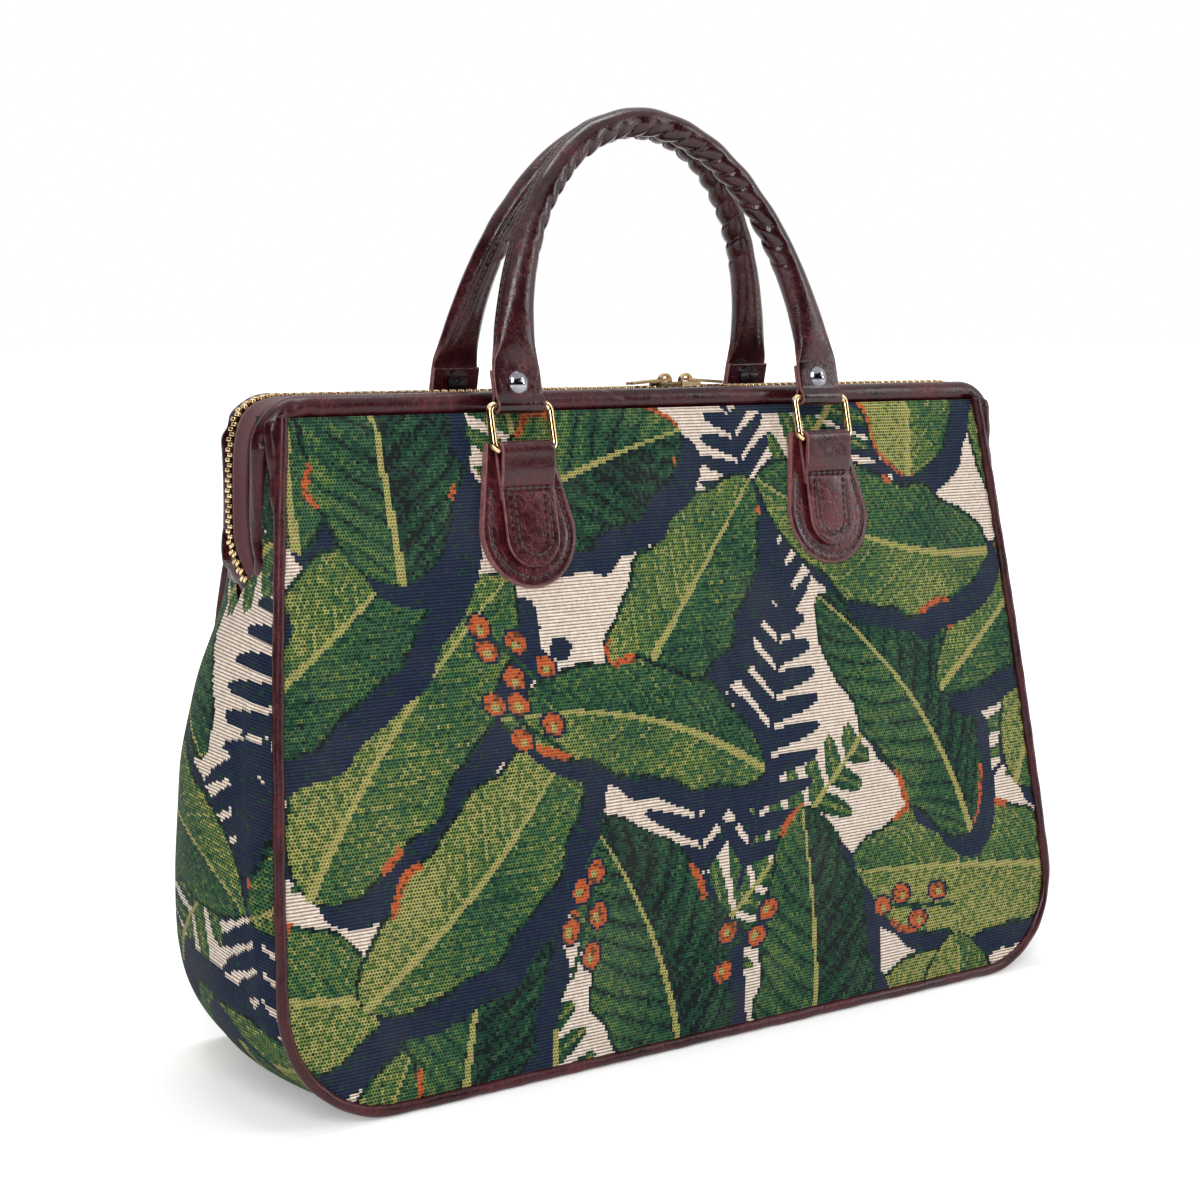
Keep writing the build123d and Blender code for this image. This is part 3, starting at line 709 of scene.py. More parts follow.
# tapestry gusset, one band from mouth end to mouth end
gussetShape = dict(
    across=92, floor=-2.0, fullAt=(105.7, 151.0, 188.75, 218.0, 234.0),
    fullness={-1: (1.0, 1.0, 0.97, 0.66, 0.16, 0.0, 0.0), 1: (1.0, 1.0, 0.87, 0.46, 0.10, 0.02, 0.0)},
    ripple=1.1, fold=1.6, foldAt=45, foldWide=40, seamRoll=3.2, rollAt=8.5, rollWide=4.5,
    rollFrom=30, rollOver=60, rollTop=206, rollFade=30, slotHalf=15.0, slotFrom=2, slotFull=18, slotMean=10,
    design=(60, 30),
)


def endOutline():
    # half way between the panels the ends swell low down and close in to the mouth
    full, corner, low = bag["length"] / 2 + bag["endSwell"], bag["endCorner"], gussetShape["floor"]
    halves = []
    for side in (-1, 1):
        high = mouthHalf + 2 + side * bag["mouthShift"]
        z = np.linspace(low + corner, mouthHem, 500)
        out = np.interp(z, [low + corner, *gussetShape["fullAt"], mouthHem], gussetShape["fullness"][side])
        x = high + (full - high) * softened(out, 14)
        at = np.linspace(0, 499, outlineCounts["side"] + 1)[1:]
        rise = np.stack([np.interp(at, np.arange(500), k) for k in (x, z)], -1)
        turn = np.linspace(-math.pi / 2, 0, outlineCounts["corner"])
        arc = np.stack([full - corner + corner * np.cos(turn), low + corner + corner * np.sin(turn)], -1)
        halves.append(np.concatenate([arc, rise]) * (side, 1))
    return joined(*halves)


def makeGusset():
    look = gussetShape
    front = onPanel(seam[:, 0], seam[:, 1], -1.0, 1)
    middle = endOutline()
    middle = np.stack([middle[:, 0], np.zeros(len(middle)), middle[:, 1]], -1)
    back = onPanel(seam[:, 0], seam[:, 1], -1.0, -1)
    # each row is a curve from the front seam through the middle to the back seam
    a = np.linspace(-1, 1, look["across"] + 1)[None, :, None]
    points = front[:, None] * a * (a - 1) / 2 + middle[:, None] * (1 - a * a)
    points = points + back[:, None] * a * (a + 1) / 2
    run = runOf(front)
    flatAcross = points[:, :, 1]
    along = unit(np.gradient(points, axis=0))
    over = unit(np.gradient(points, axis=1))
    out = np.cross(over, along)
    flatAlong = run[:, None] + 0 * flatAcross
    height = points[:, :, 2]
    calm = np.clip(1 - np.abs(a[:, :, 0]) ** 6, 0, 1) * ramp(height, 0, 25)
    lift = look["ripple"] * waves(21, 7, flatAlong, flatAcross, reach=0.06) * calm
    low = hump(height, look["foldAt"], look["foldWide"])
    lift = lift + look["fold"] * low * calm * waves(23, 5, flatAlong * 0.9, flatAcross * 0.5, reach=0.11)
    inward = (1 - np.abs(a[:, :, 0])) * np.abs(front[:, 1:2])  # how far in from the seam
    roll = look["seamRoll"] * hump(inward, look["rollAt"], look["rollWide"])
    roll = roll * ramp(height, look["rollFrom"], look["rollOver"])
    roll = roll * ramp(height, look["rollTop"], -look["rollFade"])
    points = points + out * np.maximum(lift + roll, -0.7)[..., None]
    points[:, :, 2] = np.maximum(points[:, :, 2], 0.2)
    # the mouth's slot is cut out of both ends
    faces = gridFaces(*points.shape[:2], False)
    points = points.reshape(-1, 3)
    middles = points[faces].mean(1)
    slotLow = bag["tip"] + look["slotFrom"]
    slot = look["slotHalf"] * ramp(middles[:, 2], slotLow, look["slotFull"] - look["slotFrom"])
    faces = faces[(middles[:, 2] < slotLow) | (np.abs(middles[:, 1] + tipLean(middles)) > slot)]
    used, newFaces = usedOnly(faces)
    cell = weave["cell"]
    flat = np.stack([flatAcross / cell, flatAlong / cell], -1).reshape(-1, 2)
    cells = np.floor(flat[faces].mean(1)).astype(int)
    piece = makePiece("tapestryGusset", points[used], newFaces, tapestry, "bag",
                      ["gusset"], flip=True)
    dressCloth(piece, cells[:, 0] + look["design"][0], cells[:, 1] + look["design"][1], flat[used])


makeGusset()
print("gusset woven")

# piping round the sides and the bottom of each panel
pipingShape = dict(sides=14, step=1.6, ripple=0.06, floor=0.3)


def makePiping(face, name):
    path = evenly(onPanel(seam[:, 0], seam[:, 1], 0.0, face), pipingShape["step"])
    run = runOf(path)
    turn, circle = ringSection(pipingShape["sides"])
    swell = 1 + pipingShape["ripple"] * waves(31 + face, 6, run[:, None], 6 * turn[None], reach=0.5)
    section = circle[None] * (bag["piping"] * swell)[..., None]
    points, faces = swept(path, (0, -leanCos * face, leanSin), section)
    points[:, 2] = np.maximum(points[:, 2], pipingShape["floor"])
    makePiece(name + "Piping", points, faces, leathers["pipingLeather"], "bag",
              [name + "_piping"])


for face, name in faceNames.items():
    makePiping(face, name)
print("piping sewn")

# padded bindings round the mouth: a roll of leather with a few creases where it bends
bindingShape = dict(
    sides=40, step=1.0, soft=0.16, fill=0.8, tipBend=8, tipTop=18, pinch=3.5, pinchAt=262, pinchOver=24,
    backShort=5.0, backOver=90, backRise=30, wire=2.0, wireStep=2.0, wireLow=242.0,
    tipCreases=5, cornerCreases=4, longCreases=6,
    # ranges of depth, width, side and slant
    tipCrease=((0.5, 1.1), (2.2, 4.0), (1.2, 4.8), (-6, 6)),
    cornerCrease=((0.5, 1.0), (2.8, 4.6), (2.4, 5.0), (-9, 9)),
    longCrease=((0.1, 0.3), (3, 7), (0, 6.28), (-9, 9)),
    bendPinch=(84, 2.0, 3.0, 3.9, 6), legFold=0.45, legAt=52, legWide=26, most=0.9, least=-2.4,
    foldRadius=3.4, foldIn={-1: 1, 1: 6}, foldAt=(0, 0.08, 0.3, 0.75, 1),
    foldFull=(0.45, 1.15, 1.0, 0.75, 0.15),
)


def mouthLine(step):
    # the mouth's line from the left tip over the top to the right tip, on the front side
    x, y, z, tip = mouthHalf, -bag["mouthDepth"] / 2, bag["mouthHeight"], bag["tip"]
    bend, tipTop = bindingShape["tipBend"], tip + bindingShape["tipTop"]
    points = [(-x, 10, tip - 9), (-x, y, tipTop), (-x, y, z), (x, y, z), (x, y, tipTop), (x, 10, tip - 9)]
    path = bentLine(points, [bend, bag["mouthCorner"], bag["mouthCorner"], bend], step)
    path = path[path[:, 1] < 0.2]
    path[:, 0] += bag["mouthShift"]
    return path


def drawnIn(path, face):
    # the ends of the mouth are drawn together, and the back roll's left end stops a little short
    look = bindingShape
    path = path.copy()
    path[:, 1] += face * look["pinch"] * hump(path[:, 2], look["pinchAt"], look["pinchOver"])
    if face < 0:
        left = ramp(path[:, 0], leftEnd["begins"], -look["backOver"])
        path[:, 0] += look["backShort"] * left * ramp(path[:, 2], bag["tip"], look["backRise"])
    return path


def creaseRows(rng, number, place, ranges):
    # place draws where along the roll, and each range one measure more
    return [(place(), *(rng.uniform(*pair) for pair in ranges)) for _ in range(number)]


def creased(run, turn, rows):
    # each row: where along the roll, how deep, how wide, which side it is on, how far it slants
    total = 0
    for at, depth, width, side, slant in rows:
        u = (run - at - slant * np.sin(turn - side)) / width
        here = np.clip(0.3 + np.cos(turn - side), 0, 1.3) / 1.3
        total = total + depth * (1 - 1.2 * u * u) * np.exp(-u * u) * here
    return total


def cornerFold(face, side):
    # the facing doubled over beside the roll, from the top corner down to nothing
    look = bindingShape
    x = bag["mouthShift"] + side * (mouthHalf - look["foldIn"][side])
    path = [(x - side * 3, -25.0, 299), (x, -25.8, 294), (x, -28.0, 278),
            (x + side * 0.5, -30.5, 262), (x + side * 0.5, -31.5, 250)]
    path = eased(evenly(np.array(path, float), 1.0), 8)
    share = np.linspace(0, 1, len(path))
    radius = look["foldRadius"] * np.interp(share, look["foldAt"], look["foldFull"])
    turn, circle = ringSection(20)
    bend = 1 + 0.10 * waves(47 + side + face, 5, 40 * share[:, None], 2 * turn[None], reach=0.6)
    points, faces = swept(path, (0, 1, 0), circle[None] * (radius[:, None] * bend)[..., None])
    return points * (1, face, 1), faces


def makeBinding(face, name):
    look = bindingShape
    path = mouthLine(look["step"])
    run = runOf(path)[:, None]
    turn, circle = ringSection(look["sides"])
    turn = turn[None]
    whole = run[-1, 0]
    rng = np.random.default_rng(40 + face)
    swell = look["soft"] * waves(41 + face, 8, run, 8 * turn, reach=0.06)
    for fromEnd in (run, whole - run):
        rows = creaseRows(rng, look["tipCreases"], lambda: rng.uniform(2, 26), look["tipCrease"])
        rows += creaseRows(rng, look["cornerCreases"], lambda: rng.normal(88, 8), look["cornerCrease"])
        rows.append(look["bendPinch"])  # at the inside of the bend
        swell = swell - creased(fromEnd, turn, rows)
        # folds along the leg
        leg = look["legFold"] * hump(fromEnd, look["legAt"], look["legWide"])
        swell = swell + leg * np.sin(3 * turn + fromEnd / 16 + rng.uniform(0, 6))
    rows = creaseRows(rng, look["longCreases"], lambda: rng.uniform(110, whole - 110), look["longCrease"])
    swell = swell - creased(run, turn, rows)
    section = circle[None] * (bag["binding"] + np.clip(swell, look["least"], look["most"]) - 0.2)[..., None]
    path = drawnIn(path * (1, face, 1), face) * (1, face, 1)
    points, faces = swept(path, (0, 1, 0), section)
    points[:, 1] = np.minimum(points[:, 1], 0) * face
    points[:, 1] -= tipLean(points)
    for side in (-1, 1) if face > 0 else (1,):
        morePoints, moreFaces = cornerFold(face, side)
        faces = faces + [[k + len(points) for k in f] for f in moreFaces]
        points = np.concatenate([points, morePoints])
    piece = makePiece(name + "MouthBinding", points, faces, leathers["bindingLeather"], "bag",
                      [name + "_binding"], flip=face < 0)


def makeWire(face, name):
    # the spring wire inside the roll
    path = drawnIn(mouthLine(bindingShape["wireStep"]) * (1, face, 1), face)
    path = path[path[:, 2] > bindingShape["wireLow"]]
    points, faces = swept(path, (0, 1, 0), bindingShape["wire"] * ringSection(12)[1][None])
    makePiece(name + "SpringWire", points, faces, metals["frameSteel"], "bag",
              [name + "_frame_wire"])


for face, name in faceNames.items():
    makeBinding(face, name)
    makeWire(face, name)
print("mouth bound")

# zip: tapes, teeth and end patches; at the ends the chain stands out and its tail turns to the front
zipShape = dict(
    rise=4.5, tail=6.0, tailOver=22, standOut=1.8, standOver=24, cornerOut=2.0, cornerAt=7, turnIn=-9.0,
    tapeIn=2.9, tapeEdge=14.5, tapeThick=0.8, tapeStep=1.4, toothPitch=4.4, tooth=(1.75, 3.5, 2.6),
    toothBevel=0.45, toothIn=-0.8, toothStop=5, slot=0.45, slotTooth=2.9, slotHalf=193, slotFade=8,
    patchFoot=1.0, patchTop=17.0, patchTip=2.0, patchWider=14.0, patchThick=2.2, patchIn=0.6,
    patchGrid=(18, 25),
)


def zipLine(step):
    # the flat line the tapes are sewn along, and the chain's own line
    rise = zipShape["rise"]
    x, z = mouthHalf + rise, bag["mouthHeight"] + rise
    low, bend = bag["tip"] + zipShape["tail"], bag["mouthCorner"] + rise
    base = bentLine([(-x, 0, low), (-x, 0, z), (x, 0, z), (x, 0, low)], [bend, bend], step)
    side = np.sign(base[:, 0])
    base[:, 0] += bag["mouthShift"]
    down = z - base[:, 2]
    tail = ramp(base[:, 2], low + zipShape["tailOver"], -zipShape["tailOver"])
    chain = base.copy()
    chain[:, 0] += side * zipShape["standOut"] * (1 - hump(down, 0, zipShape["standOver"])) * (1 - tail ** 2)
    chain[:, 1] += zipShape["turnIn"] * tail ** 1.6
    toEnd = np.clip((np.abs(base[:, 0] - bag["mouthShift"]) - x + 20) / 6, 0, 1)
    corner = hump(down, zipShape["cornerAt"], zipShape["cornerAt"]) * toEnd
    chain[:, 0] += side * zipShape["cornerOut"] * corner
    chain[:, 2] += zipShape["cornerOut"] * corner * 0.8
    eased(chain, 30)
    chain[:, 1] -= tipLean(chain)
    return base, chain


def makeTape(face, name):
    base, chain = zipLine(zipShape["tapeStep"])
    along = unit(np.gradient(chain, axis=0))
    across = np.array([0.0, -face, 0.0]) + face * along * along[:, 1:2]
    near = chain + unit(across) * zipShape["tapeIn"]
    far = drawnIn(base + np.array([0.0, -face * zipShape["tapeEdge"], 0.0]), face)
    far[:, 1] -= tipLean(far)
    lower = np.cross(along, unit(far - near)) * face
    t = np.linspace(0, 1, 10)[None, :, None]
    sag = 0.9 * t * t + 0.5 * np.sin(np.pi * t)
    sheet = near[:, None] * (1 - t) + far[:, None] * t + lower[:, None] * sag
    thick = lower[:, None] * zipShape["tapeThick"] / 2
    points = np.concatenate([sheet - thick, (sheet + thick)[:, ::-1]], 1)
    faces = tubeFaces(*points.shape[:2])
    makePiece(name + "ZipTape", points.reshape(-1, 3), faces, cloths["zipWeave"], "bag",
              [name + "_zip_tape"], flip=face > 0)


def softBlock(size, bevel):
    # a small block with rounded edges, as points and faces
    shape = bmesh.new()
    bmesh.ops.create_cube(shape, size=1.0)
    for vert in shape.verts:
        vert.co = Vector([c * s for c, s in zip(vert.co, size)])
    bmesh.ops.bevel(shape, geom=shape.edges[:], offset=bevel, segments=2, affect="EDGES", profile=0.6)
    shape.verts.index_update()
    points = np.array([vert.co[:] for vert in shape.verts])
    faces = [[vert.index for vert in f.verts] for f in shape.faces]
    shape.free()
    return points, faces


def repeated(points, faces, places):
    # copies of one shape; each place is (origin, three axes)
    allPoints, allFaces = [], []
    for k, (origin, axes) in enumerate(places):
        allPoints.append(origin + points @ axes)
        allFaces += [[i + k * len(points) for i in f] for f in faces]
    return np.concatenate(allPoints), allFaces


def makeTeeth(face, name):
    look = zipShape
    path = zipLine(0.5)[1]
    run = runOf(path)
    middle = run[-1] / 2
    along = unit(np.gradient(path, axis=0))
    shift = 0 if face > 0 else look["toothPitch"] / 2
    number = int((middle - look["toothStop"]) // look["toothPitch"])
    points, faces = softBlock(look["tooth"], look["toothBevel"])
    places = []
    for k in range(-number, number):
        at = middle + k * look["toothPitch"] + shift
        spot = np.array([np.interp(at, run, path[:, c]) for c in range(3)])
        ahead = unit(np.array([np.interp(at, run, along[:, c]) for c in range(3)]))
        aside = unit(np.array([0.0, 1.0, 0.0]) - ahead * ahead[1])
        # along the straight top the rows leave a slot for the slider's post, round the ends they mesh
        ends = ramp(abs(spot[0] - bag["mouthShift"]), look["slotHalf"], look["slotFade"])
        gap = look["slot"] + (look["toothIn"] - look["slot"]) * ends
        reach = look["slotTooth"] + (look["tooth"][1] - look["slotTooth"]) * ends
        spot = spot - face * (gap + reach / 2) * aside
        places.append((spot, np.array([ahead, aside * reach / look["tooth"][1], np.cross(ahead, aside)])))
    points, faces = repeated(points, faces, places)
    makePiece(name + "ZipTeeth", points, faces, metals["zipGold"], "bag",
              [name + "_teeth"])


def makeZipEnd(side, name):
    # a soft leather patch that closes the zip's lower end
    look = zipShape
    low, high = bag["tip"] + look["patchFoot"], bag["tip"] + look["patchTop"]
    rows, cols = look["patchGrid"]
    t, a = np.meshgrid(np.linspace(0, 1, rows), np.linspace(-1, 1, cols), indexing="ij")
    z = low + (high - low) * t
    y = a * (look["patchTip"] + look["patchWider"] * t)
    bulge = 1.3 * (1 - a * a) * np.sin(np.pi * np.clip(t + 0.15, 0, 1)) + 0.35 * np.sin(9 * t + 3 * a)
    x = bag["mouthShift"] + side * (mouthHalf + look["rise"] - look["patchIn"] + bulge)
    outer = np.stack([x, y, z], -1).reshape(-1, 3)
    outer[:, 1] -= tipLean(outer)
    inner = outer - np.array([side * look["patchThick"], 0, 0])
    faces = gridFaces(rows, cols, False)
    under = rows * cols
    order = np.arange(under).reshape(rows, cols)
    rim = np.concatenate([order[0], order[1:, -1], order[-1, -2::-1], order[-2:0:-1, 0]])
    after = np.roll(rim, -1)
    walls = np.stack([rim + under, after + under, after, rim], -1)
    allFaces = np.concatenate([faces, (faces + under)[:, ::-1], walls])
    makePiece(name + "ZipEnd", np.concatenate([outer, inner]), allFaces.tolist(), leathers["bindingLeather"],
              "bag", [name + "_zip_end"], flip=side < 0)


for face, name in faceNames.items():
    makeTape(face, name)
    makeTeeth(face, name)
for side, name in sideNames.items():
    makeZipEnd(side, name)
print("zip set in")

# tabs: an egg-shaped base, a strap folded round the ring's bar, and black stitching
tabShape = dict(
    wide=25.0, narrow=17.0, over=4.2, wideAt=0.42,
    strapHalf=14.0, strapInset=9.0, tail=22.0, seam=15.0, loop=3.2,
    # each ring of the base: in from the edge, height, how raw the leather is there
    levels=((0.0, -1.6, 1), (0.0, 1.2, 1), (0.35, 1.75, 0.6), (1.0, 2.0, 0), (3.4, 2.2, 0), (4.4, 1.75, 0),
            (5.4, 2.1, 0), (7.0, 2.2, 0), (11.0, 2.2, 0), (15.0, 2.2, 0)),
    rowIn=5.0, crossRow=17.5, padding=1.1, outerRow=4.4, outerHigh=1.95, innerHigh=6.05,
    wingHigh=2.2, wingOut=20.5, stitch=2.5, stitchStep=3.5, thread=0.42,
)
tabLow, tabHigh = tabFoot[0], lowBar + tabShape["over"]
wideAt = tabLow + (tabHigh - tabLow) * tabShape["wideAt"]
strapLow = tabLow + tabShape["strapInset"]


def tabOutline():
    # egg shape, from the top right corner round by the bottom to the top left
    wide, narrow, low = tabShape["wide"], tabShape["narrow"], tabLow
    rise = wideAt - low
    radius = (wide * wide + rise * rise) / (2 * rise)
    half = math.asin(min(1, wide / radius))
    if rise > radius:
        half = math.pi - half
    turn = np.linspace(half, -half, 60)
    bowl = np.stack([radius * np.sin(turn), low + radius - radius * np.cos(turn)], -1)
    line = np.concatenate([[(narrow, tabHigh)], bowl, [(-narrow, tabHigh)]])
    return evenly(line, 1.0)


def insetLine(line, amount):
    along = unit(np.gradient(line, axis=0))
    return line + np.stack([along[:, 1], -along[:, 0]], -1) * amount


def makeTabBase(face, side, name):
    line, levels = tabOutline(), tabShape["levels"]
    points, raw = [], []
    for amount, height, edge in levels:
        ring = insetLine(line, amount)
        ring = np.clip(ring, -100, [100, tabHigh])
        bend = 0.25 * waves(51, 5, ring[:, 0], ring[:, 1], reach=0.16) if height > 1.9 else 0
        points.append(onTab(ring[:, 0] + side * ringX, ring[:, 1], height + bend, face))
        raw += [edge] * len(ring)
    count = len(line)
    faces = gridFaces(len(levels), count, True).tolist()
    faces.append(list(range((len(levels) - 1) * count, len(levels) * count)))
    piece = makePiece(name + "_tabBase", np.concatenate(points), faces, leathers["tabLeather"],
                      "bag", [name + "_tab_base"], flip=face < 0)
    markPoints(piece, "raw", raw)


def superSection(count, wide, deep, power):
    # rounded flat section, from a thin strap to a full roll
    turn = np.linspace(0, 2 * np.pi, count, endpoint=False)
    c, s = np.cos(turn)[None], np.sin(turn)[None]
    wide, deep, power = (np.asarray(k, float)[:, None] for k in (wide, deep, power))
    parts = [size * np.sign(k) * np.abs(k) ** (2 / power) for size, k in ((wide, c), (deep, s))]
    return turn, np.stack(parts, -1)


def strapLine():
    # side view of the tab's strap: up the panel, out of it
    turn = np.linspace(0, np.pi, 30)
    loop = np.stack([lowBar + tabShape["loop"] * np.sin(turn), barOut + tabShape["loop"] * np.cos(turn)], -1)
    row = lowBar - tabShape["seam"]
    front = [(strapLow, 3.2), (strapLow + 10, 3.5), (row - 12, 4.0), (row - 3, 4.3), (row + 3, 5.4)]
    return np.concatenate([front, loop, [(lowBar - tabShape["tail"], 3.0)]])


def makeTabStrap(face, side, name):
    line = eased(evenly(strapLine(), 0.7), 6)
    run = runOf(line)
    half, rowIn = tabShape["strapHalf"], tabShape["rowIn"]
    near = np.clip(1 - (run + 0.15) / half, 0, 1)
    wide = half * np.sqrt(1 - near * near)
    wide[0] = max(wide[0], 1.0)
    turn, section = superSection(44, wide, np.full(len(run), 1.0), np.full(len(run), 8.0))
    x = section[..., 0]
    lie = run[:, None]
    bend = 0.16 * waves(61 + side, 6, x, lie, reach=0.22) * np.clip(lie / 10, 0, 1)
    # padded inside the inner row of stitches, drawn down along it and along the cross row
    cross = lowBar - tabShape["crossRow"] - strapLow
    toRow = np.minimum(np.minimum(half - rowIn - np.abs(x), cross - lie), lie - rowIn)
    away = np.hypot(x, np.minimum(lie - half, 0))
    toRow = np.minimum(toRow, half - rowIn - away)
    bend = bend + tabShape["padding"] * ramp(toRow, 0, 5) ** 0.6 - 0.4 * hump(toRow, 0, 1.1)
    bend = bend - 0.6 * hump(lie, cross, 1.2) + 0.9 * hump(lie - cross, 8, 5)
    outward = np.sin(turn)[None] < 0.2
    section = section - np.stack([0 * bend, bend * (lie < 62) * outward], -1)
    path = onTab(np.full(len(line), side * ringX), line[:, 0], line[:, 1], 1)
    points, faces = swept(path, (1, 0, 0), section)
    points = toFace(points, face)
    piece = makePiece(name + "_tabStrap", points, faces, leathers["tabLeather"], "bag",
                      [name + "_tab_strap"], flip=face > 0)
    edge = (np.abs(x) > wide[:, None] * 0.985 - 0.25) * 1.0
    markPoints(piece, "raw", edge.ravel() * 0.9)


def stitchPlaces(line, face, height):
    # single stitches laid along a line on the tab
    line = evenly(np.array(line, float), 0.25)
    run = runOf(line)
    number = int(run[-1] // tabShape["stitchStep"])
    places = []
    for k in range(number):
        at = (k + 0.5) * run[-1] / number
        before, here, after = ([np.interp(at + d, run, line[:, c]) for c in (0, 1)] for d in (-0.5, 0, 0.5))
        dx, dv = np.subtract(after, before)
        ahead = unit(onTab(dx, dv, 0, face) - onTab(0, 0, 0, face))
        out = unit(onTab(0, 0, 1, face) - onTab(0, 0, 0, face))
        places.append((onTab(*here, height, face), np.array([ahead, np.cross(out, ahead), out])))
    return places


def makeStitches(face, side, name):
    look = tabShape
    shift, half, thread = side * ringX, look["strapHalf"], look["thread"]
    row = lowBar - look["crossRow"]
    outer = insetLine(tabOutline(), look["outerRow"])
    outer = outer[outer[:, 1] < row - 2]
    turn = np.linspace(0, -np.pi, 40)
    centre, reach = strapLow + half, half - look["rowIn"]
    inner = [(reach * math.cos(t), centre + reach * math.sin(t)) for t in turn]
    inner = [(reach, row - 2), *inner, (-reach, row - 2)]
    onStrap = look["innerHigh"] + 0.15 * thread
    places = stitchPlaces(outer + (shift, 0), face, look["outerHigh"])
    places += stitchPlaces(np.array(inner) + (shift, 0), face, onStrap)
    places += stitchPlaces([(shift - half + 1.5, row), (shift + half - 1.5, row)], face, onStrap)
    for hand in (-1, 1):
        wing = [(shift + hand * (half + 1.6), row), (shift + hand * look["wingOut"], row)]
        places += stitchPlaces(wing, face, look["wingHigh"])
    points, faces = softBlock((look["stitch"], 2 * thread, 2 * thread), 0.75 * thread)
    points, faces = repeated(points, faces, places)
    makePiece(name + "_tabStitching", points, faces, cloths["sewingThread"], "bag")


for face, faceName in faceNames.items():
    for side, sideName in sideNames.items():
        name = faceName + "_" + sideName
        makeTabBase(face, side, name)
        makeTabStrap(face, side, name)
        makeStitches(face, side, name)
print("tabs stitched")

# handles: a strap folded round the ring at each end, rolled and gathered between
handleShape = dict(
    barY=-34.936, barZ=301.663, rise=134.0, leanIn=12.2954,
    fold=3.2, foldRise=4.0, tailRise=16.0, rollRise=18.0,
    # half width, half thickness and squareness from the strap's end to the full roll
    wideAt=(0, 0.015, 0.04, 0.09, 0.16, 0.26), wide=(12.5, 12.2, 10.2, 8.8, 7.4, 6.5),
    deepAt=(0, 0.015, 0.04, 0.09, 0.16), deep=(1.0, 1.6, 4.0, 5.9, 6.5),
    powerAt=(0, 0.015, 0.05, 0.10), power=(8.0, 5.0, 2.6, 2.0), rollEarly=5.0, sides=72,
    gathers=20, gatherFrom=0.18, gatherDepth=1.8, gatherSlant=0.38, gatherStray=0.18, innerFrom=0.06,
    seamTurn={1: 2.75, -1: 1.75}, seamRise=0.8, seamWide=0.13, grooveDeep=0.55, grooveAt=0.3, grooveWide=0.12,
    stitch=(2.3, 0.7, 0.7), stitchBevel=0.25, stitchStep=3.4, stitchFrom=14, stitchTurn=0.2, fill=0.7,
)


def handleLine():
    look = handleShape
    y, z = look["barY"], look["barZ"]
    turn = np.linspace(0, -np.pi, 30)
    fold = np.stack([y + look["fold"] * np.cos(turn), z + look["fold"] * np.sin(turn)], -1)
    side = np.concatenate([[(y + 1, z + look["tailRise"]), (y + 1, z + look["foldRise"])], fold,
                           [(y - 1, z + look["foldRise"]), (y - 1, z + look["rollRise"])]])
    side = eased(evenly(side, 0.7), 5)
    start = math.asin(look["rollRise"] / look["rise"])
    foot = ringX / math.cos(start)
    turn = np.linspace(start, np.pi - start, 700)
    arch = np.stack([-foot * np.cos(turn), np.full(len(turn), y - 1), z + look["rise"] * np.sin(turn)], -1)
    arch = evenly(arch, 0.75)
    left = np.column_stack([np.full(len(side), -ringX), side])[:-1]
    right = (left * (-1, 1, 1))[::-1]
    return np.concatenate([left, arch, right]), len(left), len(arch)


